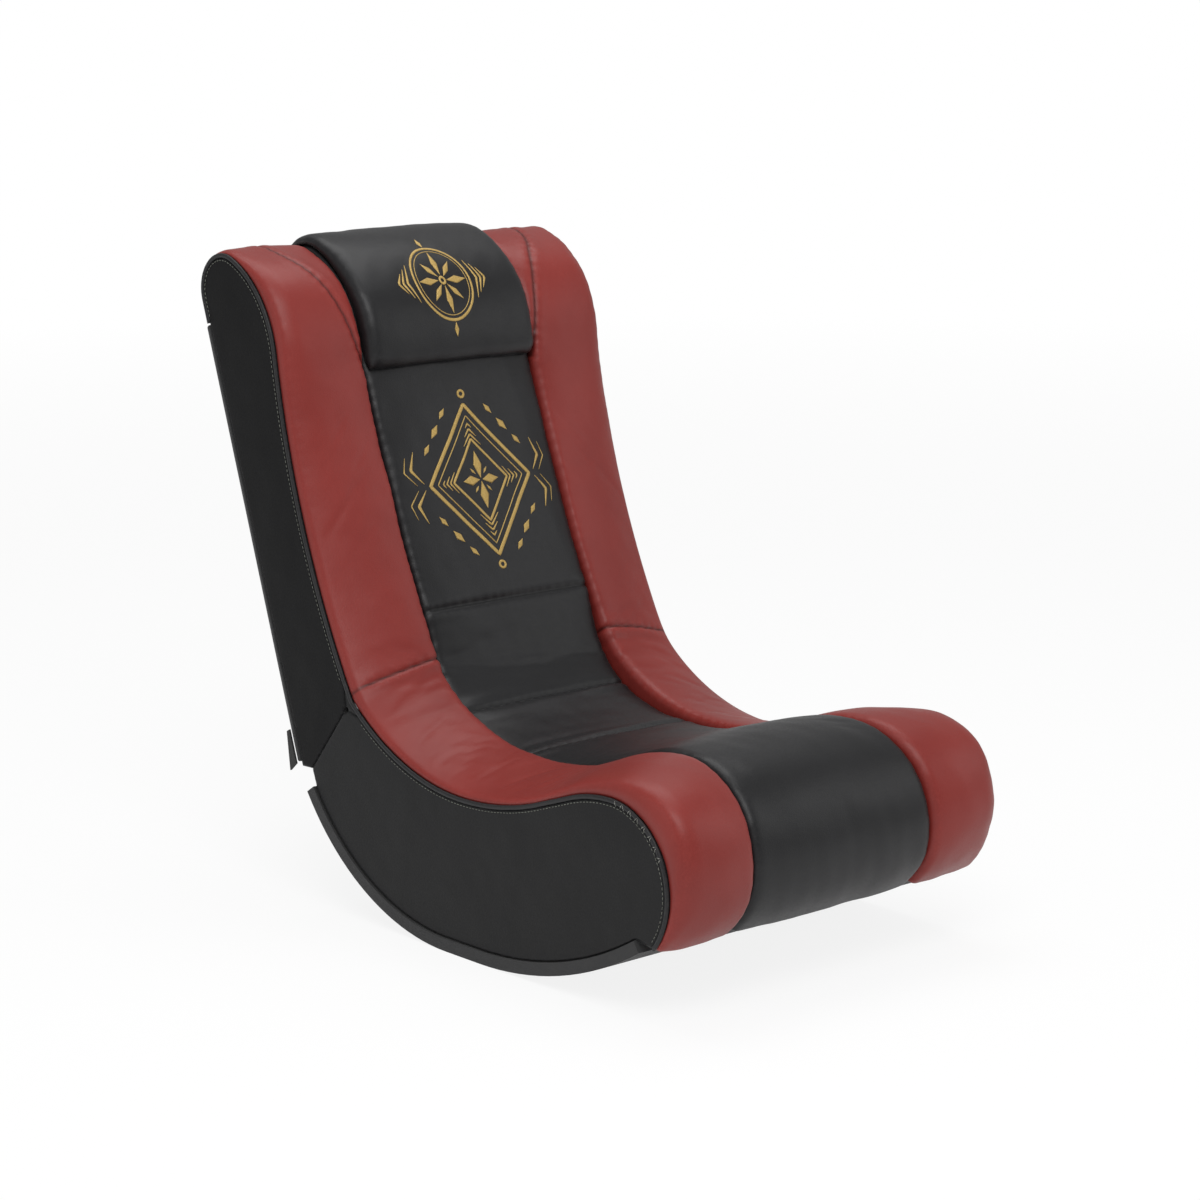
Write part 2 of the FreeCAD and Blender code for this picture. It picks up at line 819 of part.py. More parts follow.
def strip_section(s, side):
    top = along(STRIP_CROWN, s)
    wall = along(STRIP_HALF, s) - 0.3
    floor = -pad_depth(s)
    section = Section(s, side)
    section.arc((-wall + 4, top), (0, top + 2.5), (wall - 4, top))
    section.lines((wall - 4, top), (wall, top - 3), (wall, floor), (-wall, floor))
    section.lines((-wall, floor), (-wall, top - 3), (-wall + 4, top))
    return section.wire()


def head_section(s, side):
    low = along(STRIP_CROWN, s) + 0.6
    top = along(HEAD_CROWN, s)
    wall = along(STRIP_HALF, s) - 0.3
    section = Section(s, side)
    waist = low + 0.5 * (top - low)
    collar = low + 0.86 * (top - low)
    section.lines((-wall, low), (-wall, waist), (-wall + 2.6, collar), (-wall + 8, top))
    section.arc((-wall + 8, top), (0, top + 3), (wall - 8, top))
    section.lines((wall - 8, top), (wall - 2.6, collar), (wall, waist), (wall, low))
    section.lines((wall, low), (0, low + 2.5), (-wall, low))
    return section.wire()


def stations(s0, s1, counts):
    """Places along the edge line, evenly spaced within each run."""
    found = [s0]
    for start, run, count in zip(edge.starts, edge.runs, counts):
        found += [start + run.length * i / count for i in range(count + 1)]
    found = [s for s in found if s0 <= s <= s1] + [s1]
    kept = []
    for s in sorted(found):
        if not kept or s - kept[-1] > 3.0:
            kept.append(s)
    kept[-1] = s1
    return kept


COUNTS = (7, 2, 1, 3, 4, 5, 4, 5, 1)


def loft(section, places, side=1):
    return Part.makeLoft([section(s, side) for s in places], True, True)


far = 900.0
reach = size("half_width") + 20
seat_lip = polar(pivot, size("relief_seat_reach"), size("relief_seat_angle"))
back_lip = polar(pivot, size("relief_back_reach"), size("relief_back_angle"))
lap = (seat_lip[0] - 20, back_lip[1] - 20)
fold_edge = size("relief_back_angle") + size("relief_gap_angle")
seat_zone = prism(
    joined(
        pivot,
        seat_lip,
        lap,
        (lap[0], far),
        (-far, far),
        (-far, -far),
        by_split(far, 0.0),
    ),
    -reach,
    reach,
)
fold_zone = prism(
    joined(pivot, seat_lip, lap, polar(pivot, size("relief_back_reach"), fold_edge)),
    -reach,
    reach,
)
back_zone = prism(
    joined(
        by_split(0.0, -size("split_gap")),
        by_split(far, -size("split_gap")),
        (far, -far),
        (far, far),
        (lap[0], far),
        lap,
        back_lip,
    ),
    -reach,
    reach,
)
relief_bore = Part.makeCylinder(size("pad_relief"), 2 * reach, FreeCAD.Vector(-reach, *pivot), FreeCAD.Vector(1, 0, 0))


def zone_piece(shape, zone):
    solids = shape.common(zone).cut(relief_bore).Solids
    return max(solids, key=lambda solid: solid.Volume)


head_places = [s_head, s_head + 5, s_head + 16, s_head + 36]
whole = stations(0.0, edge.length, COUNTS)
for name, side in (("right", -1), ("left", 1)):
    bolster = loft(bolster_section, whole, side)
    feature("seat_bolster_" + name, zone_piece(bolster, seat_zone))
    feature("fold_bolster_" + name, zone_piece(bolster, fold_zone))
    feature("back_bolster_" + name, zone_piece(bolster, back_zone))
strip_places = sorted([s for s in whole if not s_head - 8 < s < s_head + 40] + head_places)
strip = loft(strip_section, strip_places)
feature("seat_centre_pad", zone_piece(strip, seat_zone))
feature("fold_centre_pad", zone_piece(strip, fold_zone))
feature("back_centre_pad", zone_piece(strip, back_zone))
feature("headrest_pad", loft(head_section, [s for s in strip_places if s >= s_head]))

# Piping along the edge of each side panel


def piping(label, side, s0, s1):
    """A flat folded band that covers the seam between panel and pads."""
    inner = "Sizes.half_width - Sizes.skin_thick + 0.2"
    outline = joined(
        edge.pieces(s0, s1, size("piping_above")), reverse(edge.pieces(s0, s1, -size("piping_below")))
    )
    return plate(label, side, inner, "Sizes.piping_thick", outline)


for name, side in (("right", -1), ("left", 1)):
    piping("seat_piping_" + name, side, 2.0, seat_cut - 4.0)
    piping("back_piping_" + name, side, back_cut + 4.0, edge.length - 2.0)

# Hinge plates and pins


def plate_outline(angle):
    """A round ear at the pivot with an arm that ends in two bevels."""
    ear = size("ear_radius")
    half = size("arm_half")
    tip = polar(pivot, size("arm_length"), angle)
    flare = math.degrees(math.asin(half / ear))
    start = polar(pivot, ear, angle + flare)
    end = polar(pivot, ear, angle - flare)
    return joined(
        [("arc", start, polar(pivot, ear, angle + 180), end)],
        polar(tip, half, angle - 90),
        polar(tip, half, angle - 30),
        polar(tip, half, angle + 30),
        polar(tip, half, angle + 90),
    )


seat_plate_face = board_inner + " - Sizes.plate_thick"
back_plate_face = back_inner + " - Sizes.back_plate_thick"
seat_face = size("half_width") - size("skin_thick") - size("seat_board_thick")
back_face = size("half_width") - size("skin_thick") - size("back_board_thick")


def hinge_plate(label, side, face, thickness, angle, bore):
    body = plate(label, side, face, thickness, plate_outline(angle))
    doc.recompute()
    sketch = side_sketch(body, label + "_bore")
    pivot_circle(sketch, bore)
    pocket = body.newObject("PartDesign::Pocket", label + "_bore_cut")
    pocket.Profile = sketch
    pocket.Midplane = True
    pocket.Type = "ThroughAll"
    return body


def hinge_pin(label, side):
    """A pin with a flat head, turned about its own axis."""
    body = doc.addObject("PartDesign::Body", label)
    body.Label = label
    sketch = body.newObject("Sketcher::SketchObject", label + "_half")
    sketch.AttachmentSupport = [(origin_plane(body, "XY_Plane"), "")]
    sketch.MapMode = "FlatFace"
    head = size("pin_head_thick")
    radius = size("pin_head_radius")
    shank = size("pin_radius")
    tip = back_face - 0.3 - (seat_face - size("plate_thick"))
    draw(
        sketch,
        joined(
            (-head, 0.0),
            (-head, radius),
            (0.0, radius),
            (0.0, shank),
            (tip, shank),
            (tip, 0.0),
        ),
    )
    turned = body.newObject("PartDesign::Revolution", label + "_turned")
    turned.Profile = sketch
    turned.ReferenceAxis = (sketch, ["H_Axis"])
    turned.Angle = 360.0
    spin = FreeCAD.Rotation(FreeCAD.Vector(0, 0, 1), 0 if side > 0 else 180)
    body.Placement = FreeCAD.Placement(vec(side * (seat_face - size("plate_thick")), pivot), spin)
    return body


for name, side in (("right", -1), ("left", 1)):
    hinge_plate(
        "seat_hinge_plate_" + name,
        side,
        seat_plate_face,
        "Sizes.plate_thick",
        size("seat_arm_angle"),
        "Sizes.pin_radius + 0.02",
    )
    hinge_plate(
        "back_hinge_plate_" + name,
        side,
        back_plate_face,
        "Sizes.back_plate_thick",
        size("back_arm_angle"),
        "Sizes.pin_radius + Sizes.pin_clearance",
    )
    hinge_pin("hinge_pin_" + name, side)

# Checks, then one file for each piece

doc.recompute()
for obj in doc.Objects:
    if "Invalid" in obj.State or "Error" in obj.State:
        raise RuntimeError("failed object " + obj.Label)
pieces = [o for o in doc.Objects if o.isDerivedFrom("Part::Feature") and o.getParentGeoFeatureGroup() is None]
for piece in pieces:
    if piece.Shape.isNull() or not piece.Shape.isValid() or not piece.Shape.Solids:
        raise RuntimeError("bad shape " + piece.Label)
for piece in pieces:
    piece.Shape.exportStep("parts/" + piece.Label + ".step")
print("pieces", len(pieces))
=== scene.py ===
import json
import math

import bmesh
import bpy
import numpy as np
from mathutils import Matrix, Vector
from mathutils.bvhtree import BVHTree
from mathutils.geometry import delaunay_2d_cdt
from mathutils.kdtree import KDTree


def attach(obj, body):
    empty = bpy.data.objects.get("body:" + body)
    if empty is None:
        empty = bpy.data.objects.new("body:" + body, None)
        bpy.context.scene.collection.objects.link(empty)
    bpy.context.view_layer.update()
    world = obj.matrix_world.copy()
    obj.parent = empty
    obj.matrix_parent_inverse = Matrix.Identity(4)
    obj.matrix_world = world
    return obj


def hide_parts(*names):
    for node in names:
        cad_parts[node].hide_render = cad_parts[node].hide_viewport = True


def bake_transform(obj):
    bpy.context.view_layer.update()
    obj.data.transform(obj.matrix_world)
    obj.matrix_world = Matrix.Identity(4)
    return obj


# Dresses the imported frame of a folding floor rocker: cushions, skins, piping, stitches, finishes,
# floor, light and camera. Shapes are worked out in millimetres and made in metres.
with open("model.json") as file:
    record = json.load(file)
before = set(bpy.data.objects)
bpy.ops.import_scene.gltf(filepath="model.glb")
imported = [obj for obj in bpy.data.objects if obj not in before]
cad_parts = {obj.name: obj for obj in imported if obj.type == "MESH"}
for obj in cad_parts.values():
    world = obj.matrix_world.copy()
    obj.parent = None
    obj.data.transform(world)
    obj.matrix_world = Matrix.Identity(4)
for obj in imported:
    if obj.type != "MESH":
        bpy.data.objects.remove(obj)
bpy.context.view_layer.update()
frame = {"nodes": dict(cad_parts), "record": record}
MM = 0.001

# Named sizes of the chair in millimetres, in the frame's side view (y, z), as part.py has them
half_width = 240.0
strip_half = 126.0
core_half = 214.0
sole_half = 242.5
dip = (-62.0, 176.0)
dip_rear_radius, dip_front_radius = 300.0, 385.0
ramp_start_y, ramp_run, crest_radius = -187.0, 53.0, 191.0
nose_radius, nose_end_angle = 87.0, 221.0
fold_y, split_angle, split_length, pivot_depth = 137.5, -51.2, 118.0, 14.0
relief_seat_angle, relief_back_angle, corner_relief = 186.0, 87.5, 4.0
shoulder = (270.0, 630.0)
back_radius, corner_radius, corner_end_angle, top_radius = 1075.0, 134.0, 113.0, 40.0
rear_lean, rear_wrap, back_foot_z = 18.3, 30.0, 160.0
flat_front_y, flat_rear_y = -90.0, -33.0
sole_front_radius, sole_rear_radius = 492.0, 303.0
sole_front_angle, sole_rear_angle = 31.6, 55.8
sole_top = 14.0
panel_drop = 1.6
cushion_gap = 0.35


def polar(centre, radius, angle):
    a = math.radians(angle)
    return (centre[0] + radius * math.cos(a), centre[1] + radius * math.sin(a))


def arc(centre, radius, start, end, outward):
    length = radius * abs(math.radians(end - start))
    return {"c": centre, "r": radius, "a": (start, end), "o": outward, "len": length}


def line(p, q, normal_angle):
    return {"p": p, "q": q, "n": polar((0, 0), 1, normal_angle), "len": math.dist(p, q)}


dip_rear_centre = (dip[0], dip[1] + dip_rear_radius)
dip_front_centre = (dip[0], dip[1] + dip_front_radius)
ramp_slope = math.degrees(math.asin((dip[0] - ramp_start_y) / dip_front_radius))
ramp_low = polar(dip_front_centre, dip_front_radius, 270 - ramp_slope)
ramp_high = polar(ramp_low, ramp_run, 180 - ramp_slope)
crest_centre = polar(ramp_high, -crest_radius, 90 - ramp_slope)
crest_top = polar(crest_centre, crest_radius, 90)
nose_centre = (crest_top[0], crest_top[1] - nose_radius)
fold_angle = 270 + math.degrees(math.asin((fold_y - dip[0]) / dip_rear_radius))
fold_corner = polar(dip_rear_centre, dip_rear_radius, fold_angle)
chord = math.dist(fold_corner, shoulder)
chord_angle = math.degrees(math.atan2(shoulder[1] - fold_corner[1], shoulder[0] - fold_corner[0]))
chord_middle = ((fold_corner[0] + shoulder[0]) / 2, (fold_corner[1] + shoulder[1]) / 2)
back_centre = polar(chord_middle, math.sqrt(back_radius ** 2 - chord ** 2 / 4), chord_angle + 90)
shoulder_angle = math.degrees(math.atan2(shoulder[1] - back_centre[1], shoulder[0] - back_centre[0]))
fold_start_angle = math.degrees(math.atan2(fold_corner[1] - back_centre[1], fold_corner[0] - back_centre[0]))
corner_centre = polar(shoulder, corner_radius, shoulder_angle)
corner_end = polar(corner_centre, corner_radius, corner_end_angle)
top_centre = polar(corner_end, -top_radius, corner_end_angle)
rear_start = polar(top_centre, top_radius, -rear_lean)
rear_down = 270 - rear_lean
# The edge line: from under the nose over the seat, through the fold and up over the back
RUNS = [
    arc(nose_centre, nose_radius, nose_end_angle, 90, 1),
    arc(crest_centre, crest_radius, 90, 90 - ramp_slope, 1),
    line(ramp_high, ramp_low, 90 - ramp_slope),
    arc(dip_front_centre, dip_front_radius, 270 - ramp_slope, 270, -1),
    arc(dip_rear_centre, dip_rear_radius, 270, fold_angle, -1),
    arc(back_centre, back_radius, fold_start_angle, shoulder_angle, -1),
    arc(corner_centre, corner_radius, 180 + shoulder_angle, corner_end_angle, 1),
    arc(top_centre, top_radius, corner_end_angle, -rear_lean, 1),
    line(rear_start, polar(rear_start, rear_wrap, rear_down), -rear_lean),
]
STARTS = np.cumsum([0.0] + [r["len"] for r in RUNS])
LENGTH = float(STARTS[-1])
s_crest, _, s_ramp_low, s_dip = [float(x) for x in STARTS[1:5]]
s_fold, s_shoulder, s_corner, s_rear = [float(x) for x in STARTS[5:9]]


def raw_edge(s, runs=RUNS, starts=STARTS):
    """Points and outward normals of an edge line at an array of places."""
    s = np.clip(np.asarray(s, float), 0, starts[-1])
    p, n = np.zeros((len(s), 2)), np.zeros((len(s), 2))
    for run, start in zip(runs, starts):
        inside = (s >= start - 1e-9)
        f = np.minimum((s[inside] - start) / run["len"], 1.0)
        if "c" in run:
            a = np.radians(run["a"][0] + (run["a"][1] - run["a"][0]) * f)
            ray = np.stack([np.cos(a), np.sin(a)], 1)
            p[inside] = np.array(run["c"]) + run["r"] * ray
            n[inside] = run["o"] * ray
        else:
            p[inside] = np.array(run["p"]) + np.outer(f, np.array(run["q"]) - np.array(run["p"]))
            n[inside] = run["n"]
    return p, n


def smooth(values, sigma):
    """Gaussian smoothing of rows that are one millimetre apart."""
    reach = int(3 * sigma)
    kernel = np.exp(-0.5 * (np.arange(-reach, reach + 1) / sigma) ** 2)
    kernel /= kernel.sum()
    flat = values.reshape(len(values), -1)
    padded = np.pad(flat, ((reach, reach), (0, 0)), mode="edge")
    out = np.stack([np.convolve(padded[:, i], kernel, "valid") for i in range(flat.shape[1])], 1)
    return out.reshape(values.shape)


# The edge line at every millimetre, exact for what lies on it and eased over the fold for cushions
TICKS = np.append(np.arange(0.0, LENGTH, 1.0), LENGTH)
exact_p, exact_n = raw_edge(TICKS)
near_fold = np.exp(-((TICKS - s_fold) / 75.0) ** 2)[:, None]
soft_p = exact_p + (smooth(exact_p, 20.0) - exact_p) * near_fold
soft_n = smooth(exact_n, 5.0) * (1 - near_fold) + smooth(exact_n, 30.0) * near_fold
soft_n /= np.linalg.norm(soft_n, axis=1)[:, None]


def table_at(table, s):
    return np.stack([np.interp(s, TICKS, table[:, i]) for i in range(table.shape[1])], 1)


def place(x, s, h):
    """Points of the frame, in millimetres, at a width, a place along the edge and a height above it."""
    x, s, h = np.broadcast_arrays(np.asarray(x, float), np.asarray(s, float), np.asarray(h, float))
    shape = x.shape
    x, s, h = x.ravel(), s.ravel(), h.ravel()
    lift = np.clip(h / 14.0, 0, 1)[:, None]
    foot = table_at(exact_p, s) * (1 - lift) + table_at(soft_p, s) * lift
    up = table_at(soft_n, s)
    yz = foot + up * h[:, None]
    return np.concatenate([x[:, None], yz], 1).reshape(shape + (3,))


def s_nose(angle):
    return nose_radius * math.radians(nose_end_angle - angle)


def s_back(z):
    angle = math.degrees(math.asin((z - back_centre[1]) / back_radius))
    return s_fold + back_radius * math.radians(angle - fold_start_angle)


s_chin, s_front, s_brow = s_nose(192.0), s_nose(167.0), s_nose(136.0)
s_lumbar, s_middle, s_upper, s_head = s_back(324.0), s_back(455.0), s_back(560.0), s_back(603.0)
s_crease = s_fold - 62.0
s_turn = (s_shoulder + s_corner) / 2


def crown(*knots, blur=13.0):
    """A smooth height along the edge line through (place, height) knots."""
    places, heights = zip(*knots)
    return smooth(np.interp(TICKS, places, heights), blur)


# Heights of the cushions above the edge line: a bolster at its side and inside, the centre strip,
# the headrest; then the strip's half width and the depth of the cushions below the edge line
SIDE = crown((0, 4), (s_chin, 16), (s_front, 32.5), (s_brow, 43), (s_crest, 24), (s_ramp_low, 11),
             (s_dip, 13), (s_lumbar, 21), (s_shoulder, 23), (s_turn, 25), (s_corner, 7.5), (s_rear, 5),
             (LENGTH, 4))
INNER = crown((0, 6), (s_chin, 22), (s_front, 28), (s_brow, 35), (s_crest, 32), (s_ramp_low, 28), (s_dip, 35),
              (s_crease, 36), (s_fold, 38), (s_lumbar, 40), (s_middle, 37), (s_upper, 26), (s_shoulder, 20),
              (s_turn, 18), (s_corner, 6.5), (s_rear, 4.5), (LENGTH, 4))
STRIP = crown((0, 5), (s_chin, 20), (s_front, 25), (s_brow, 31), (s_crest, 31), (s_dip, 29), (s_crease, 17),
              (s_lumbar, 36), (s_middle, 34), (s_upper, 24), (s_head, 17), (s_head + 20, 9), (s_corner, 6),
              (s_rear, 3), (LENGTH, 2))
HEAD = crown((s_head, 33), (s_head + 60, 34.5), (s_corner, 21), (s_rear, 6.5), (LENGTH, 4.5))
WALL = crown((0, 136), (s_front, 135), (s_crest, strip_half), (LENGTH, strip_half))
FLOOR = crown((0, 13), (s_fold - 60, 13), (s_fold - 20, 1.0), (s_fold + 20, 1.0),
              (s_fold + 50, 4.5), (LENGTH, 4.5))


def height_at(table, s):
    return float(np.interp(s, TICKS, table))


def lengths_along(points):
    """How far along a path each of its points is."""
    return np.concatenate([[0], np.cumsum(np.linalg.norm(np.diff(points, axis=0), axis=1))])


def points_at(places, lengths, points):
    """The points of a path that are so far along it."""
    return np.stack([np.interp(places, lengths, column) for column in points.T], -1)


def rounded(points, radii, count):
    """A closed outline through rounded corners, resampled to evenly spaced points."""
    n = len(points)
    out = []
    for i in range(n):
        p = np.array(points[i], float)
        a = np.array(points[i - 1], float) - p
        b = np.array(points[(i + 1) % n], float) - p
        la, lb = np.linalg.norm(a), np.linalg.norm(b)
        r = min(radii[i], 0.48 * la, 0.48 * lb)
        p0, p1 = p + a / la * r, p + b / lb * r
        for t in (0, 0.25, 0.5, 0.75, 1):
            out.append((1 - t) ** 2 * p0 + 2 * t * (1 - t) * p + t * t * p1)
    out.append(out[0])
    out = np.array(out)
    along = lengths_along(out)
    return points_at(np.linspace(0, along[-1], count + 1)[:-1], along, out)


# Sections of the cushions across the edge line, as closed outlines of (width, height) points
bolster_points, middle_points = 72, 76


def bolster_outline(s):
    outer, inner = height_at(SIDE, s), height_at(INNER, s)
    wall = height_at(WALL, s) + cushion_gap
    low, floor = 1.2, -height_at(FLOOR, s)
    rim = half_width - 2.6
    turn = min(17.0, 0.85 * (outer - low))
    top = [(rim - turn, outer + 0.3)]
    span = rim - turn - wall - 6
    for t in (0.75, 0.5, 0.25):
        rise = 3.6 * 4 * t * (1 - t) * min(1.0, inner / 14.0)
        top.append((wall + 6 + span * t, inner + (outer - inner) * t + rise))
    lip = min(7.0, 0.6 * (inner + 2))
    points = [(core_half, floor), (core_half, low), (rim - 0.4, low), (rim + 1.4, low + 0.45 * (outer - low)),
              (rim - 0.22 * turn, outer - 0.3 * turn)] + top
    points += [(wall + 6, inner), (wall, inner - lip), (wall, floor)]
    radii = [1, 0.8, 1.2, 9, 7, 9, 30, 30, 30, 6, 3, 1]
    return rounded(points, radii, bolster_points)


def strip_outline(s):
    top, wall, floor = height_at(STRIP, s), height_at(WALL, s) - cushion_gap, -height_at(FLOOR, s)
    lip = min(6.0, 0.6 * (top + 2))
    side = [(wall - 5, top), (wall, top - lip), (wall, floor)]
    arch = [(wall * t, top + 2.4 * (1 - t * t)) for t in (0.6, 0.2, -0.2, -0.6)]
    points = arch + [(-x, h) for x, h in side] + list(reversed(side))
    radii = [40, 40, 40, 40, 5, 3, 1, 1, 3, 5]
    return rounded(points, radii, middle_points)


def head_outline(s):
    d = s - s_head
    low = height_at(STRIP, s) + 0.7
    swell = math.sqrt(max(0.0, 1 - (1 - min(d / 17.0, 1)) ** 2))
    top = low + 1.5 + max(0.5, height_at(HEAD, s) - low - 1.5) * swell
    wall = height_at(WALL, s) - cushion_gap - 5.0 * (1 - swell)
    h = top - low
    side = [(wall - 9, top - 0.3), (wall - 1.8, low + 0.72 * h), (wall, low + 0.35 * h), (wall - 0.8, low)]
    arch = [(wall * t, top + 2.6 * (1 - t * t)) for t in (0.6, 0.2, -0.2, -0.6)]
    points = arch + [(-x, z) for x, z in side] + list(reversed(side))
    radii = [40, 40, 40, 40, 9, 7, 5, 1, 1, 5, 7, 9]
    return rounded(points, radii, middle_points)


def new_object(name, data):
    obj = bpy.data.objects.new(name, data)
    bpy.context.scene.collection.objects.link(obj)
    return obj


def new_mesh(name, verts, faces):
    mesh = bpy.data.meshes.new(name)
    mesh.from_pydata([tuple(v) for v in verts], [], faces)
    mesh.validate()
    mesh.polygons.foreach_set("use_smooth", [True] * len(mesh.polygons))
    return new_object(name, mesh)


def face_outwards(mesh):
    work = bmesh.new()
    work.from_mesh(mesh)
    bmesh.ops.recalc_face_normals(work, faces=work.faces)
    work.to_mesh(mesh)
    work.free()


def tube_grid(name, rings):
    """A closed mesh from rings of equal length, with a fan at each end."""
    count, around = rings.shape[:2]
    verts = rings.reshape(-1, 3) * MM
    faces = []
    for i in range(count - 1):
        for j in range(around):
            k = (j + 1) % around
            faces.append((i * around + j, i * around + k, (i + 1) * around + k, (i + 1) * around + j))
    ends = [rings[0].mean(0) * MM, rings[-1].mean(0) * MM]
    verts = np.concatenate([verts, np.array(ends)])
    a, b = count * around, count * around + 1
    for j in range(around):
        k = (j + 1) % around
        faces.append((a, k, j))
        faces.append((b, (count - 1) * around + j, (count - 1) * around + k))
    obj = new_mesh(name, verts, faces)
    face_outwards(obj.data)
    return obj


def vectors(mesh, which):
    """The co or the normal of every vertex, one row each."""
    out = np.zeros(len(mesh.vertices) * 3)
    mesh.vertices.foreach_get(which, out)
    return out.reshape(-1, 3)


def waves(points, seed, scale, count=9):
    """Smooth noise of about plus or minus one, from seeded plane waves."""
    rng = np.random.default_rng(seed)
    total = np.zeros(len(points))
    for _ in range(count):
        direction = rng.normal(size=points.shape[1])
        direction *= (0.6 + 0.8 * rng.random()) * 2 * math.pi / (scale * np.linalg.norm(direction))
        total += np.sin(points @ direction + rng.random() * 6.28)
    return total / math.sqrt(count)


# Cloth simulation of the cushions: pressure, the cap on a point's movement, and frames
PRESSURE, SWELL_CAP, CLOTH_FRAMES = 3.0, 3.2 * MM, 20


def swell_cloth(obj, held):
    """Lets the cover swell under pressure between the held points, by at most about the cap."""
    group = obj.vertex_groups.new(name="held")
    for i in np.nonzero(held > 0)[0]:
        group.add([int(i)], float(held[i]), "REPLACE")
    cloth = obj.modifiers.new("swell", "CLOTH")
    cloth.settings.vertex_group_mass = "held"
    cloth.settings.use_pressure = True
    cloth.settings.uniform_pressure_force = PRESSURE
    cloth.settings.effector_weights.gravity = 0
    cloth.settings.quality = 4
    cloth.settings.mass = 0.3
    cloth.collision_settings.use_collision = False
    cloth.collision_settings.use_self_collision = False
    cloth.point_cache.frame_start = 1
    cloth.point_cache.frame_end = CLOTH_FRAMES
    rest = vectors(obj.data, "co")
    for number in range(1, CLOTH_FRAMES + 1):
        bpy.context.scene.frame_set(number)
    graph = bpy.context.evaluated_depsgraph_get()
    grown = vectors(obj.evaluated_get(graph).to_mesh(), "co")
    obj.evaluated_get(graph).to_mesh_clear()
    obj.modifiers.remove(cloth)
    obj.vertex_groups.clear()
    bpy.context.scene.frame_set(1)
    move = grown - rest
    size = np.linalg.norm(move, axis=1)
    kept = SWELL_CAP * np.tanh(size / SWELL_CAP) / np.maximum(size, 1e-9)
    obj.data.vertices.foreach_set("co", (rest + move * kept[:, None]).ravel())
    obj.data.update()


def nearest_on(path, x, s):
    """Distance to a path of (x, s) points, and how far along it the nearest point is."""
    best = np.full(len(x), 1e9)
    where = np.zeros(len(x))
    start = 0.0
    for (x0, s0), (x1, s1) in zip(path, path[1:]):
        dx, ds = x1 - x0, s1 - s0
        size = math.hypot(dx, ds)
        t = np.clip(((x - x0) * dx + (s - s0) * ds) / size ** 2, 0, 1)
        d = np.hypot(x - x0 - t * dx, s - s0 - t * ds)
        closer = d < best
        best[closer] = d[closer]
        where[closer] = start + t[closer] * size
        start += size
    return best, where


def curved(*points, step=6.0):
    """A smooth path through (x, s) points."""
    p = np.array(points, float)
    t = lengths_along(p)
    q = points_at(np.arange(0, t[-1] + step, step).clip(max=t[-1]), t, p)
    if len(q) > 6:
        for _ in range(6):
            q[1:-1] = 0.5 * q[1:-1] + 0.25 * (q[:-2] + q[2:])
    return [tuple(v) for v in q]


def corner_seam(widths, last):
    """The seam of a bolster from the headrest's edge over the top, a little otherwise each side."""
    heights = (s_back(600), s_back(632), s_shoulder + 46, s_shoulder + 84, s_corner - 30, s_corner - 6,
               s_rear - last, LENGTH)
    return curved(*zip(widths, heights))


def straight_seam(s):
    return [(-130, s), (130, s)]


# Seams as rows of (width, place) points, and the depth of the groove that each presses in
fold_seam = curved((238, s_fold + 6), (180, s_fold + 13), (126, s_fold + 20))
s_seat_seam = s_dip + 30.0
SEAMS = {
    "bolster": {-1: [fold_seam, corner_seam((126, 137, 152, 168, 180, 187, 190, 190), 20)],
                1: [fold_seam, corner_seam((126, 133, 144, 160, 176, 188, 198, 200), 30)]},
    "strip": {1: [straight_seam(s) for s in (s_crease, s_lumbar, s_seat_seam)]},
    "head": {1: []},
}
DEPTH = {"bolster": [1.8, 1.3], "strip": [3.0, 2.2, 0.7], "head": []}
# The second of these widths sets how wide the painted shade that darkens each seam's groove is
groove_width, seam_shade_width, pucker_reach = 2.3, 1.5, 9.0
seam_pucker_pitch, rim_pucker_pitch, crease_pitch = 13.0, 15.0, 27.0
crease_heights = {"bolster": 0.4, "strip": 0.24, "head": 0.4}
# The rings of a cushion's mesh, and those of the headrest's rounded lower rim
ring_pitch = 5.0
head_rim_places = (0.05, 0.5, 1.4, 2.8, 4.8)


def held_points(kind, side, x, s, h, top, ends):
    """How firmly each point is held while the cover swells: at its rim, ends, fold and seams."""
    held = np.where(h < 0.45 * top, 1.0, 0.0)
    wall = np.interp(s, TICKS, WALL)
    if kind == "bolster":
        rim = (np.abs(x) < wall + 6) | (np.abs(x) > half_width - 4)
    else:
        rim = np.abs(x) > wall - 6
    fold = (np.abs(s - s_fold) < 26) & (h < 12)
    held = np.maximum(held, np.where(rim | fold, 1.0, 0.0))
    to_end = np.minimum(s - ends[0], ends[1] - s)
    held = np.maximum(held, np.clip(1 - to_end / 26.0, 0, 1))
    for path in SEAMS[kind][side]:
        d, _ = nearest_on(path, np.abs(x) if kind == "bolster" else x, s)
        held = np.maximum(held, np.where(d < 5.5, 0.9, 0.0))
    return held


def set_values(mesh, label, data):
    layer = mesh.attributes.new(label, "FLOAT", "POINT")
    layer.data.foreach_set("value", data.astype(np.float32))


def get_values(mesh, label):
    row = np.zeros(len(mesh.vertices), np.float32)
    mesh.attributes[label].data.foreach_get("value", row)
    return row.astype(float)


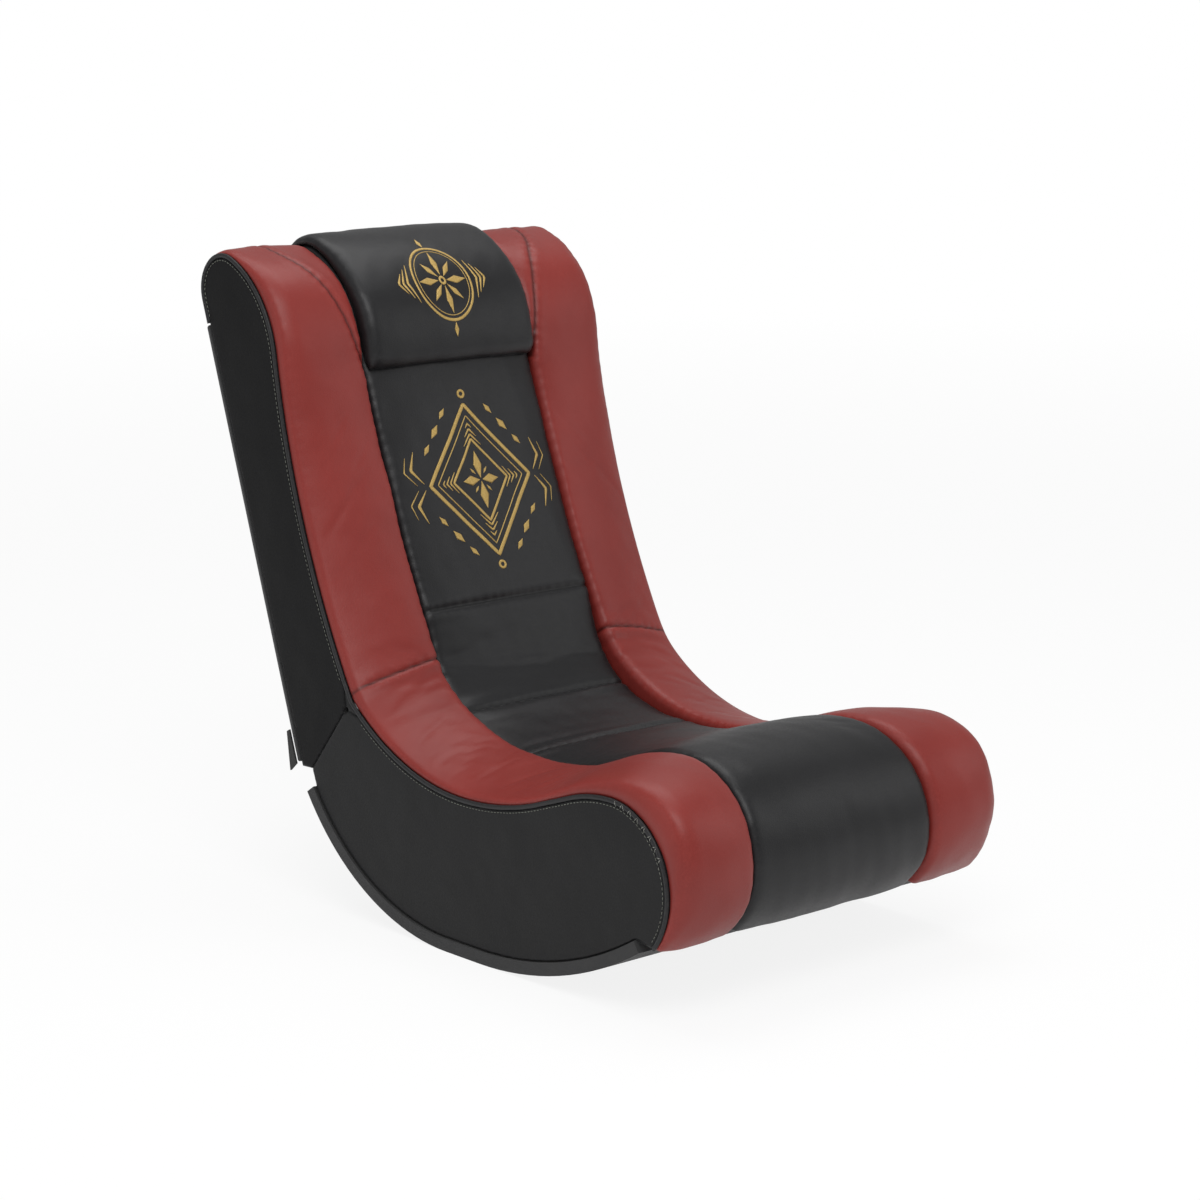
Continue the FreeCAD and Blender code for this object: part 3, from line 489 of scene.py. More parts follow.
def cushion(name, kind, outline, side):
    """One whole cushion, from end to end, swelled and subdivided, that knows its own places."""
    first = s_head if kind == "head" else 0.0
    places = np.linspace(first, LENGTH, int((LENGTH - first) / ring_pitch))
    if kind == "head":
        places = np.concatenate([s_head + np.array(head_rim_places), places[places > s_head + 7]])
    sections = np.array([outline(s) for s in places])
    around = sections.shape[1]
    obj = tube_grid(name, place(side * sections[:, :, 0], places[:, None], sections[:, :, 1]))
    x = np.append(sections[:, :, 0].ravel(), [0, 0])
    s = np.append(np.repeat(places, around), [places[0], places[-1]])
    h = np.append(sections[:, :, 1].ravel(), [-10, -10])
    top = np.append(sections[:, :, 1].max(1).repeat(around), [0, 0])
    swell_cloth(obj, held_points(kind, side, x, s, h, top, (places[0], places[-1])))
    for label, data in (("along", s), ("across", x), ("height", h / np.maximum(top, 1.0))):
        set_values(obj.data, label, data)
    finer = obj.modifiers.new("finer", "SUBSURF")
    finer.levels = finer.render_levels = 1
    graph = bpy.context.evaluated_depsgraph_get()
    mesh = bpy.data.meshes.new_from_object(obj.evaluated_get(graph))
    obj.modifiers.remove(finer)
    obj.data = mesh
    mesh.polygons.foreach_set("use_smooth", [True] * len(mesh.polygons))
    return obj


def pad(name, kind, outline, side, seed):
    """A cushion with its grooves, puckers and creases, and the painted shade along its seams kept in its seam
    attribute.
    """
    obj = cushion(name, kind, outline, side)
    mesh = obj.data
    co, out = vectors(mesh, "co"), vectors(mesh, "normal")
    s, x = get_values(mesh, "along"), get_values(mesh, "across")
    upper = np.clip((get_values(mesh, "height") - 0.35) / 0.3, 0, 1)
    width = np.abs(x) if kind == "bolster" else x
    wall = np.interp(s, TICKS, WALL)
    move, seam = np.zeros(len(co)), np.zeros(len(co))
    for path, depth in zip(SEAMS[kind][side], DEPTH[kind]):
        d, where = nearest_on(path, width, s)
        move -= depth * np.exp(-(d / groove_width) ** 2) * upper
        pucker = np.sin(where * 2 * math.pi / seam_pucker_pitch + 2.0 * np.sin(where / 23.0))
        move += 0.34 * pucker * np.exp(-(d / pucker_reach) ** 2) * upper
        move += 0.9 * np.exp(-((d - 8) / 7.0) ** 2) * upper
        # The seam value marks painted shade: the material darkens the cover along each seam's groove
        seam = np.maximum(seam, np.exp(-(d / seam_shade_width) ** 2))
    edge_gap = wall - np.abs(x)
    if kind == "bolster":
        edge_gap = np.minimum(np.abs(width - wall), np.abs(half_width - width))
    pucker = np.sin(s * 2 * math.pi / rim_pucker_pitch + 1.7 * np.sin(s / 31.0) + seed)
    move += 0.22 * pucker * np.exp(-(edge_gap / pucker_reach) ** 2) * upper
    grid = np.stack([x, s], 1)
    move += (0.45 * waves(grid, seed, 95.0) + 0.16 * waves(grid, seed + 1, 38.0)) * upper
    crush = np.exp(-((s - s_fold) / 46.0) ** 2) + 0.5 * np.exp(-((s - s_crease) / 26.0) ** 2)
    folds = np.sin((s + 0.10 * width + 3.0 * waves(grid, seed + 2, 60.0)) * 2 * math.pi / crease_pitch)
    move += crease_heights[kind] * folds * crush * upper
    co += out * (move * MM)[:, None]
    mesh.vertices.foreach_set("co", co.ravel())
    set_values(mesh, "seam", seam)
    mesh.update()
    return obj


# Cut a whole cushion into its seat, fold and back pieces, with the whole cushion's shading
split_p = polar(fold_corner, pivot_depth, split_angle)
PIVOT = Vector((0, split_p[0] * MM, split_p[1] * MM))


def half_space(angle):
    """Normal of the plane through the pivot along a ray, pointing to growing angles."""
    a = math.radians(angle + 90)
    return Vector((0, math.cos(a), math.sin(a)))


def cut_piece(whole, name, cuts, nearest, whole_normals):
    """A part of a cushion between planes, closed, with the normals of the whole."""
    mesh = whole.data.copy()
    work = bmesh.new()
    work.from_mesh(mesh)
    for angle, keep_more in cuts:
        n = half_space(angle)
        geometry = work.verts[:] + work.edges[:] + work.faces[:]
        bmesh.ops.bisect_plane(work, geom=geometry, dist=1e-6, plane_co=PIVOT, plane_no=n,
                               clear_outer=not keep_more, clear_inner=keep_more)
    rim = [e for e in work.edges if e.is_boundary]
    filled = bmesh.ops.holes_fill(work, edges=rim, sides=0)
    for f in filled["faces"]:
        f.smooth = False
    work.to_mesh(mesh)
    work.free()
    obj = new_object(name, mesh)
    mesh.name = name
    wanted = []
    for co in vectors(mesh, "co"):
        found = nearest.find_n(co, 4)
        total = np.zeros(3)
        for _, index, distance in found:
            total += whole_normals[index] / (distance + 1e-5)
        wanted.append(Vector(total).normalized())
    mesh.normals_split_custom_set_from_vertices([tuple(n) for n in wanted])
    return obj


def cut_up(whole, names):
    """The seat, fold and back pieces of a cushion, which itself goes."""
    tree = KDTree(len(whole.data.vertices))
    for i, co in enumerate(vectors(whole.data, "co")):
        tree.insert(co, i)
    tree.balance()
    out = vectors(whole.data, "normal")
    plans = [[(relief_seat_angle, True)], [(relief_seat_angle, False), (relief_back_angle, True)],
             [(relief_back_angle, False), (relief_seat_angle, False)]]
    pieces = [cut_piece(whole, name, plan, tree, out) for name, plan in zip(names, plans)]
    bpy.data.objects.remove(whole)
    return pieces


# Materials, all made of nodes, in object coordinates, which are the frame's metres
def material(name):
    m = bpy.data.materials.new(name)
    m.use_nodes = True
    tree = m.node_tree
    tree.nodes.clear()
    out = tree.nodes.new("ShaderNodeOutputMaterial")
    shader = tree.nodes.new("ShaderNodeBsdfPrincipled")
    tree.links.new(shader.outputs["BSDF"], out.inputs["Surface"])
    return m, tree, shader


def add(tree, kind, **values):
    node = tree.nodes.new(kind)
    for key, val in values.items():
        if key in node.inputs:
            node.inputs[key].default_value = val
        else:
            setattr(node, key, val)
    return node


def texture(tree, kind, scale, detail=2.0, stretch=(1, 1, 1), **more):
    where = add(tree, "ShaderNodeTexCoord")
    mapping = add(tree, "ShaderNodeMapping")
    mapping.inputs["Scale"].default_value = stretch
    tree.links.new(where.outputs["Object"], mapping.inputs["Vector"])
    node = tree.nodes.new(kind)
    node.inputs["Scale"].default_value = scale
    if "Detail" in node.inputs:
        node.inputs["Detail"].default_value = detail
    for key, val in more.items():
        setattr(node, key, val)
    tree.links.new(mapping.outputs["Vector"], node.inputs["Vector"])
    return node


def greys(tree, source, first, last):
    """A grey between two (position, level) stops."""
    node = add(tree, "ShaderNodeValToRGB")
    for element, (position, level) in zip(node.color_ramp.elements, (first, last)):
        element.position = position
        element.color = (level, level, level, 1)
    tree.links.new(source, node.inputs["Fac"])
    return node.outputs["Color"]


def span(tree, source, low, high):
    node = add(tree, "ShaderNodeMapRange")
    node.inputs["From Min"].default_value = 0.25
    node.inputs["From Max"].default_value = 0.75
    node.inputs["To Min"].default_value = low
    node.inputs["To Max"].default_value = high
    tree.links.new(source, node.inputs["Value"])
    return node.outputs["Result"]


def mix(tree, fac, a, b, blend="MIX"):
    node = tree.nodes.new("ShaderNodeMix")
    node.data_type = "RGBA"
    node.blend_type = blend
    for socket, given in ((node.inputs[0], fac), (node.inputs[6], a), (node.inputs[7], b)):
        if isinstance(given, (int, float)):
            socket.default_value = given
        elif isinstance(given, tuple):
            socket.default_value = (*given, 1)
        else:
            tree.links.new(given, socket)
    return node.outputs[2]


def wire(tree, shader, colour, rough, relief):
    for socket, source in (("Base Color", colour), ("Roughness", rough), ("Normal", relief)):
        tree.links.new(source, shader.inputs[socket])


def bump(tree, source, strength, distance, before=None):
    node = add(tree, "ShaderNodeBump", Strength=strength, Distance=distance)
    tree.links.new(source, node.inputs["Height"])
    if before is not None:
        tree.links.new(before, node.inputs["Normal"])
    return node.outputs["Normal"]


def leatherette(name, dark, light, rough, grain=1.0, seams=False, gloss=0.3):
    """Coated cloth: a fine pebble grain, faint pores, soft mottling and rubbed high spots; with seams set,
    painted shade darkens the seam lines.
    """
    m, tree, shader = material(name)
    cloud = texture(tree, "ShaderNodeTexNoise", 9.0, 4.0)
    fine = texture(tree, "ShaderNodeTexNoise", 420.0, 3.0)
    pebble = texture(tree, "ShaderNodeTexVoronoi", 780.0, feature="F1")
    pores = texture(tree, "ShaderNodeTexVoronoi", 1500.0, feature="DISTANCE_TO_EDGE")
    colour = mix(tree, span(tree, cloud.outputs["Fac"], 0.0, 1.0), dark, light)
    shade = greys(tree, pebble.outputs["Distance"], (0.0, 1.04), (0.8, 0.86))
    colour = mix(tree, 0.6, colour, shade, "MULTIPLY")
    geometry = add(tree, "ShaderNodeNewGeometry")
    edges = greys(tree, geometry.outputs["Pointiness"], (0.5, 0), (0.58, 1))
    patches = greys(tree, fine.outputs["Fac"], (0.4, 0), (0.7, 1))
    rub = mix(tree, 1.0, edges, patches, "MULTIPLY")
    lighter = tuple(min(1.0, c * 1.35 + 0.012) for c in light)
    colour = mix(tree, rub, colour, lighter)
    # Painted shade: the colour darkens to near black along the seam lines, in their grooves
    if seams:
        seam = add(tree, "ShaderNodeAttribute", attribute_name="seam")
        colour = mix(tree, seam.outputs["Fac"], colour, tuple(c * 0.22 for c in dark))
    shader.inputs["Specular IOR Level"].default_value = gloss
    shader.inputs["Sheen Weight"].default_value = 0.02
    shader.inputs["Sheen Roughness"].default_value = 0.4
    n = bump(tree, pebble.outputs["Distance"], 0.32 * grain, 0.00022)
    n = bump(tree, pores.outputs["Distance"], 0.16 * grain, 0.00012, n)
    n = bump(tree, fine.outputs["Fac"], 0.20 * grain, 0.00035, n)
    soft = texture(tree, "ShaderNodeTexNoise", 32.0, 2.0)
    n = bump(tree, soft.outputs["Fac"], 0.22, 0.0015, n)
    wire(tree, shader, colour, span(tree, fine.outputs["Fac"], *rough), n)
    return m


def woven(name, dark, light, pitch, rough):
    """Cloth or webbing with a visible weave."""
    m, tree, shader = material(name)
    warp = texture(tree, "ShaderNodeTexWave", pitch, 0.0, bands_direction="X")
    weft = texture(tree, "ShaderNodeTexWave", pitch, 0.0, bands_direction="Z")
    cloud = texture(tree, "ShaderNodeTexNoise", 60.0, 4.0)
    weave = mix(tree, 0.5, warp.outputs["Color"], weft.outputs["Color"])
    colour = mix(tree, span(tree, cloud.outputs["Fac"], 0.0, 1.0), dark, light)
    # The colour darkens where the weave's bump is low: painted shade between the threads
    colour = mix(tree, 0.45, colour, weave, "MULTIPLY")
    shader.inputs["Sheen Weight"].default_value = 0.15
    roughness = span(tree, cloud.outputs["Fac"], rough - 0.08, rough + 0.1)
    wire(tree, shader, colour, roughness, bump(tree, weave, 0.5, 0.0003))
    return m


def plywood(name):
    """Birch plywood with its grain along the rails."""
    m, tree, shader = material(name)
    rings = texture(tree, "ShaderNodeTexNoise", 95.0, 5.0, (0.035, 1.0, 1.0))
    fibre = texture(tree, "ShaderNodeTexNoise", 420.0, 6.0, (0.05, 1.0, 1.0))
    streaks = span(tree, rings.outputs["Fac"], 0, 1)
    colour = mix(tree, streaks, (0.40, 0.26, 0.13), (0.55, 0.40, 0.23))
    rough = span(tree, fibre.outputs["Fac"], 0.55, 0.75)
    wire(tree, shader, colour, rough, bump(tree, fibre.outputs["Fac"], 0.4, 0.0004))
    return m


def steel(name, dark, light):
    """Brushed sheet metal with the faint spangle of its plating."""
    m, tree, shader = material(name)
    brushed = texture(tree, "ShaderNodeTexNoise", 500.0, 4.0, (1, 0.05, 1))
    spots = texture(tree, "ShaderNodeTexVoronoi", 220.0)
    colour = mix(tree, span(tree, spots.outputs["Distance"], 0, 1), dark, light)
    shader.inputs["Metallic"].default_value = 1.0
    rough = span(tree, brushed.outputs["Fac"], 0.28, 0.45)
    wire(tree, shader, colour, rough, bump(tree, brushed.outputs["Fac"], 0.2, 0.0002))
    return m


def thread(name, dark, light, metallic=0.0, rough=0.5):
    """Satin stitches: fine parallel ridges with a slight shimmer."""
    m, tree, shader = material(name)
    ridges = texture(tree, "ShaderNodeTexWave", 380.0, 0.0, (1, 0.35, 0.35), bands_direction="DIAGONAL")
    noise = texture(tree, "ShaderNodeTexNoise", 700.0, 3.0)
    colour = mix(tree, span(tree, noise.outputs["Fac"], 0, 1), dark, light)
    # The colour darkens in the troughs between the ridges: painted shade between the stitches
    colour = mix(tree, 0.35, colour, ridges.outputs["Color"], "MULTIPLY")
    shader.inputs["Metallic"].default_value = metallic
    roughness = span(tree, noise.outputs["Fac"], rough - 0.1, rough + 0.1)
    wire(tree, shader, colour, roughness, bump(tree, ridges.outputs["Fac"], 0.6, 0.0003))
    return m


RED = leatherette("red_leatherette", (0.212, 0.0235, 0.0185), (0.262, 0.032, 0.0255), (0.34, 0.46),
                  seams=True)
BLACK = leatherette("black_leatherette", (0.0068, 0.0068, 0.0076), (0.0100, 0.0100, 0.0112), (0.34, 0.46),
                    seams=True, gloss=0.33)
# The back's side panels are the same black leatherette as the seat's, made about half as bright: painted
# shade
BACK_SIDE_SHADED_BLACK = leatherette("back_side_leatherette_painted_shade", (0.0040, 0.0040, 0.0044), (0.0058, 0.0058, 0.0063),
                         (0.48, 0.60), gloss=0.13)
SIDE_BLACK = leatherette("side_leatherette", (0.0075, 0.0075, 0.008), (0.0105, 0.0105, 0.011),
                         (0.44, 0.56), gloss=0.2)
# Painted shade: near-black cloth on the side and sole boards, so the narrow gaps between the skins, where the
# boards show, read dark
GAP_SHADE_BLACK = woven("wrapped_edge", (0.006, 0.006, 0.006), (0.010, 0.010, 0.010), 620.0, 0.85)
PIPING = leatherette("piping_leatherette", (0.010, 0.010, 0.011), (0.015, 0.015, 0.016), (0.4, 0.52),
                     grain=0.8)
SOLE = woven("sole_cloth", (0.013, 0.013, 0.014), (0.022, 0.022, 0.023), 700.0, 0.7)
REAR = woven("rear_cloth", (0.012, 0.012, 0.013), (0.020, 0.020, 0.021), 620.0, 0.72)
WEBBING = woven("black_webbing", (0.010, 0.010, 0.010), (0.018, 0.018, 0.018), 420.0, 0.75)
ELASTIC = woven("elastic_webbing", (0.20, 0.20, 0.19), (0.28, 0.28, 0.27), 300.0, 0.8)
FOAM = woven("foam", (0.60, 0.54, 0.36), (0.74, 0.68, 0.48), 500.0, 0.9)
PLY = plywood("plywood")
ZINC = steel("zinc_steel", (0.42, 0.43, 0.45), (0.56, 0.57, 0.58))
PIN_STEEL = steel("blackened_steel", (0.03, 0.03, 0.032), (0.05, 0.05, 0.052))
STITCH = thread("pale_thread", (0.17, 0.18, 0.15), (0.26, 0.27, 0.23))
GATHER = thread("light_thread", (0.34, 0.34, 0.30), (0.48, 0.48, 0.43))
GOLD = thread("gold_thread", (0.50, 0.32, 0.075), (0.72, 0.50, 0.17), 0.35, 0.42)

# Cushions
def declare(piece, body, paint, nodes=()):
    """Paints a piece, sets it on the body it rides on (a fold piece is baked in place instead) and hides the
    nodes it stands for.
    """
    piece.data.materials.append(paint)
    if body == "fold":
        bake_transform(piece)
    else:
        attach(piece, body)
    if nodes:
        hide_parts(*nodes)


PARTS = {"seat": "seat", "fold": "fold", "back": "backrest"}
SIDES = (("right", -1), ("left", 1))
for (name, side), seed in zip(SIDES, (11, 23)):
    whole = pad("bolster_" + name, "bolster", bolster_outline, side, seed)
    names = [part + "_bolster_soft_" + name for part in PARTS]
    for part, piece in zip(PARTS, cut_up(whole, names)):
        declare(piece, PARTS[part], RED, [part + "_bolster_" + name])
strip = cut_up(pad("strip", "strip", strip_outline, 1, 37), [part + "_centre_soft" for part in PARTS])
for part, piece in zip(PARTS, strip):
    inside_it = ["seat_foam_block", "nose_foam"] if part == "seat" else []
    declare(piece, PARTS[part], BLACK, [part + "_centre_pad"] + inside_it)
head = pad("headrest_soft", "head", head_outline, 1, 51)
declare(head, "backrest", BLACK, ["headrest_pad"])


# Skins: a flat outline filled with a fine mesh that swells away from its rim
def even_rim(outline, step):
    """A closed outline resampled at even steps."""
    p = np.array(outline + [outline[0]], float)
    t = lengths_along(p)
    return points_at(np.linspace(0, t[-1], int(t[-1] / step) + 1)[:-1], t, p)


def rim_distance(points, outline):
    """How far each point is from a closed outline."""
    best = np.full(len(points), 1e9)
    closed = np.concatenate([outline, outline[:1]])
    for a, b in zip(closed, closed[1:]):
        d = b - a
        t = np.clip(((points - a) @ d) / max(d @ d, 1e-9), 0, 1)
        best = np.minimum(best, np.linalg.norm(points - a - t[:, None] * d, axis=1))
    return best


def inside(points, outline):
    result = np.zeros(len(points), bool)
    closed = np.concatenate([outline, outline[:1]])
    for a, b in zip(closed, closed[1:]):
        between = (a[1] > points[:, 1]) != (b[1] > points[:, 1])
        at = a[0] + (points[:, 1] - a[1]) / (b[1] - a[1] + 1e-12) * (b[0] - a[0])
        result ^= between & (points[:, 0] < at)
    return result


def rolled(d, width):
    """The rise of a rolled rim, from 0 at the edge to 1 at the given width from it."""
    return np.sqrt(np.clip(1 - (1 - np.clip(d / width, 0, 1)) ** 2, 0, 1))


# A skin's mesh: its spacing from and up to a distance from the rim, close along the rolled rim
RIM_MESH, FIELD_MESH = (1.6, 1.1, 5.0), (6.5, 5.0, 1e9)
skin_thickness = 1.1
panel_face, gusset_face = 238.75, 238.2


def skin(name, outline, base, rise, swell, side, seed, step=4.0):
    """A cover in a side view outline, its face base + rise + swell from the middle plane."""
    rim = even_rim(outline, step)
    low, high = rim.min(0), rim.max(0)
    rng = np.random.default_rng(seed)
    fill = []
    for spacing, band_low, band_high in (RIM_MESH, FIELD_MESH):
        axes = [np.arange(low[i], high[i], spacing) for i in (0, 1)]
        grid = np.stack(np.meshgrid(*axes), -1).reshape(-1, 2)
        grid = grid + rng.uniform(-0.12, 0.12, grid.shape) * spacing
        grid = grid[inside(grid, rim)]
        d = rim_distance(grid, rim)
        fill.append(grid[(d > band_low) & (d <= band_high)])
    points = np.concatenate([rim] + fill)
    ring = [list(range(len(rim)))]
    verts, _, faces, _, _, _ = delaunay_2d_cdt([Vector(p) for p in points], [], ring, 1, 1e-6)
    flat = np.array([tuple(v) for v in verts])
    d = rim_distance(flat, rim)
    x = base + rise * rolled(d, 3.0) + swell * (1 - np.exp(-d / 45.0))
    x += (0.28 * waves(flat, seed, 120.0) + 0.10 * waves(flat, seed + 1, 42.0)) * np.clip(d / 20.0, 0, 1)
    co = np.stack([side * x, flat[:, 0], flat[:, 1]], 1) * MM
    obj = new_mesh(name, co, [tuple(f) for f in faces])
    if sum(f.normal.x for f in obj.data.polygons) * side < 0:
        obj.data.flip_normals()
    return obj


SOLE_RUNS = [
    arc((flat_front_y, sole_front_radius), sole_front_radius, 270 - sole_front_angle, 270, -1),
    line((flat_front_y, 0), (flat_rear_y, 0), 90),
    arc((flat_rear_y, sole_rear_radius), sole_rear_radius, 270, 270 + sole_rear_angle, -1),
]
SOLE_STARTS = np.cumsum([0.0] + [r["len"] for r in SOLE_RUNS])


def edge_points(s0, s1, offset, step=3.0):
    s = np.linspace(s0, s1, max(2, int((s1 - s0) / step)))
    p, n = raw_edge(s)
    return [tuple(v) for v in p + n * offset]


def sole_points(offset, y_end):
    s = np.linspace(0, SOLE_STARTS[-1], 220)
    p, n = raw_edge(s, SOLE_RUNS, SOLE_STARTS)
    q = p + n * offset
    return [tuple(v) for v in q[q[:, 0] < y_end]]


def by_split(along, aside):
    return polar(polar(split_p, along, split_angle), aside, split_angle - 90)


def by_rear(down, inward):
    return polar(polar(rear_start, down, rear_down), inward, 180 - rear_lean)


def relief(start, end, steps=5):
    """The round cut about the pivot that leaves room for the fold."""
    return [polar(split_p, corner_relief, start + (end - start) * i / steps) for i in range(steps + 1)]


def crossing(angle, low, high):
    """Where the edge line crosses a ray from the pivot."""
    ray = polar((0, 0), 1, angle)
    s = np.linspace(low, high, 4001)
    p, _ = raw_edge(s)
    side = ray[0] * (p[:, 1] - split_p[1]) - ray[1] * (p[:, 0] - split_p[0])
    return float(s[np.argmin(np.abs(side))])


seat_cut = crossing(relief_seat_angle, s_fold - 90, s_fold)
back_cut = crossing(relief_back_angle, s_fold, s_fold + 90)
split_left = split_length - pivot_depth
foot_down = (rear_start[1] - back_foot_z) / math.cos(math.radians(rear_lean))
seat_outline = (edge_points(0, seat_cut, -panel_drop) + relief(relief_seat_angle, split_angle + 360)
                + [by_split(split_left, 0)] + sole_points(sole_top + 1, by_split(split_left, 0)[0] - 9)[::-1])
back_outline = (edge_points(back_cut, LENGTH - rear_wrap, -panel_drop) + [by_rear(foot_down, panel_drop)]
                + [by_split(split_left, -1)] + relief(split_angle + 14, relief_back_angle))
gusset_outline = (edge_points(seat_cut, back_cut, -panel_drop, 2.0)
                  + relief(relief_seat_angle, relief_back_angle + 0.4)[::-1])

panels = (("seat", seat_outline, SIDE_BLACK, 5), ("back", back_outline, BACK_SIDE_SHADED_BLACK, 7))
for name, side in SIDES:
    for part, outline, paint, seed in panels:
        panel = skin(part + "_side_skin_" + name, outline, panel_face, 1.15, 1.0, side, seed + side)
        thick = panel.modifiers.new("thick", "SOLIDIFY")
        thick.thickness = skin_thickness * MM
        thick.offset = -1
        declare(panel, PARTS[part], paint, [part + "_side_panel_" + name])
    gusset = skin("fold_gusset_skin_" + name, gusset_outline, gusset_face, 0.7, 0.2, side, 9, 2.0)
    declare(gusset, "fold", SIDE_BLACK, ["fold_gusset_" + name])


# Piping: a folded cord round each side, with its line of pale stitches
def sweep(name, centres, first, second, half_a, half_b, around=10):
    """A tube along centres with the two half widths along the given directions."""
    rings = []
    for c, a, b in zip(centres, first, second):
        angles = np.linspace(0, 2 * math.pi, around, endpoint=False)
        rings.append(c + np.outer(np.cos(angles) * half_a, a) + np.outer(np.sin(angles) * half_b, b))
    return tube_grid(name, np.array(rings))


def side_path(s0, s1, offset, x, step=4.0):
    """Points beside the eased edge line at a width, and the line's normals there."""
    s = np.linspace(s0, s1, max(3, int((s1 - s0) / step)))
    p, _ = raw_edge(s)
    n = table_at(soft_n, s)
    return np.stack([np.full(len(s), x), p[:, 0] + n[:, 0] * offset, p[:, 1] + n[:, 1] * offset], 1), n


# Widths from the middle plane at which the piping, its stitches and the gathers lie
bead_middle, stitch_face, gather_foot, gather_top = 239.2, 240.35, 240.6, 240.9


def bead(name, side, s0, s1):
    centres, n = side_path(s0, s1, 0.9, side * bead_middle, 3.0)
    ups = np.stack([np.zeros(len(n)), n[:, 0], n[:, 1]], 1)
    outs = np.tile([side, 0, 0], (len(n), 1)).astype(float)
    return sweep(name, centres, outs, ups, 2.1, 2.7)


# A stitch's faces: two points along its thread at each end of the middle, and its closed foot
STITCH_FACES = ((0, 1, 2), (0, 2, 3), (1, 4, 5, 2), (2, 5, 6, 3), (4, 7, 5), (5, 7, 6), (1, 0, 3, 6, 7, 4))
GATHER_FACES = ((0, 1, 6, 5), (1, 2, 6), (2, 3, 6), (3, 4, 6), (4, 5, 6), (1, 0, 5, 4, 3, 2))


def stitch_row(name, path, ups, length, gap, width, seed, lift=0.25):
    """Separate stitches along a path, each a small lens of thread."""
    rng = np.random.default_rng(seed)
    t = lengths_along(path)
    verts, faces = [], []
    at = gap
    while at + length < t[-1]:
        a, b = points_at(at, t, path), points_at(at + length, t, path)
        up = points_at(at, t, ups)
        up /= np.linalg.norm(up)
        way = (b - a) / np.linalg.norm(b - a)
        across = np.cross(up, way) * width / 2 * (0.9 + 0.2 * rng.random())
        m = len(verts)
        rise = up * lift
        inner = [a + (b - a) * f for f in (0.22, 0.78)]
        verts += [a - rise, inner[0] + across, inner[0] + rise * 1.8, inner[0] - across,
                  inner[1] + across, inner[1] + rise * 1.8, inner[1] - across, b - rise]
        faces += [tuple(m + i for i in face) for face in STITCH_FACES]
        at += length + gap * (0.9 + 0.2 * rng.random())
    return new_mesh(name, np.array(verts) * MM, faces)


def gathers(name, side):
    """Slanting threads where the cover is drawn in round the nose."""
    verts, faces = [], []
    for i, s in enumerate(np.linspace(s_nose(154.0), s_nose(98.0), 15)):
        slant = (-1) ** i
        p = side_path(s, s + 1.2 * slant, -3.0, side * gather_foot, 1.0)[0][0]
        q = side_path(s + 2.6 * slant, s + 4.0 * slant, 3.6, side * gather_top, 1.0)[0][0]
        way = (q - p) / np.linalg.norm(q - p)
        flat = np.cross([side, 0, 0], way) * 0.42
        out = np.array([side * 0.55, 0, 0])
        near, middle = p + (q - p) * 0.2, (p + q) / 2 + out * 1.6
        m = len(verts)
        verts += [p, near + flat, middle + flat, q, middle - flat, near - flat, middle + out * 0.7]
        faces += [tuple(m + i for i in face) for face in GATHER_FACES]
    return new_mesh(name, np.array(verts) * MM, faces)


for name, side in SIDES:
    for part, s0, s1 in (("seat", 2.0, seat_cut - 3.0), ("back", back_cut + 3.0, LENGTH - 2.0)):
        cord = bead(part + "_piping_soft_" + name, side, s0, s1)
        declare(cord, PARTS[part], PIPING, [part + "_piping_" + name])
        path, n = side_path(s0 + 3, s1 - 4, -4.6, side * stitch_face)
        outs = np.tile([side, 0, 0], (len(n), 1)).astype(float)
        row = stitch_row(part + "_stitches_" + name, path, outs, 3.8, 1.4, 0.95, 5)
        declare(row, PARTS[part], STITCH)
    declare(bead("fold_piping_soft_" + name, side, seat_cut - 3.2, back_cut + 3.2), "fold", PIPING)
    declare(gathers("nose_gathers_" + name, side), "seat", GATHER)


# Rear cover: a padded board cover, rounded over its rim
def rear_point(x, down, out):
    q = np.array([by_rear(d, -o) for d, o in zip(np.ravel(down), np.ravel(out))])
    return np.stack([np.ravel(x), q[:, 0], q[:, 1]], 1)


def ticks(length):
    rim = [0, 0.15, 0.5, 1.1, 2.0, 3.2, 5.0, 9.0, 15.0]
    core = list(np.linspace(24, length - 24, int(length / 11)))
    return np.array(rim + core + [length - r for r in reversed(rim)])


cover_top, cover_width, cover_out = 30.5, 480.0, 10.0
cover_length = foot_down - 5.5 - cover_top
U, V = np.meshgrid(ticks(cover_width), ticks(cover_length))
d = np.minimum(np.minimum(U, cover_width - U), np.minimum(V, cover_length - V))
uneven = waves(np.stack([U.ravel(), V.ravel()], 1), 61, 110.0).reshape(U.shape)
swelled = 1.6 * (1 - np.exp(-d / 60.0)) + 0.3 * uneven * np.clip(d / 30, 0, 1)
out = 0.2 + (cover_out - 0.4) * rolled(d, 4.5) + swelled
points = rear_point(U - cover_width / 2, V + cover_top, out) * MM
number = np.arange(U.size).reshape(U.shape)
quads = np.stack([number[:-1, :-1], number[:-1, 1:], number[1:, 1:], number[1:, :-1]], -1)
border = [*number[0], *number[1:, -1], *number[-1, -2::-1], *number[-2:0:-1, 0]]
faces = [tuple(int(i) for i in face) for face in (*quads.reshape(-1, 4), border)]
rear = new_mesh("back_rear_soft", points, faces)
face_outwards(rear.data)
declare(rear, "backrest", REAR, ["back_rear_cover", "back_rear_panel"])
seam_in = 8
right, foot = cover_width - seam_in, cover_length - seam_in
corners = [(seam_in, seam_in), (right, seam_in), (right, foot), (seam_in, foot), (seam_in, seam_in)]
path = []
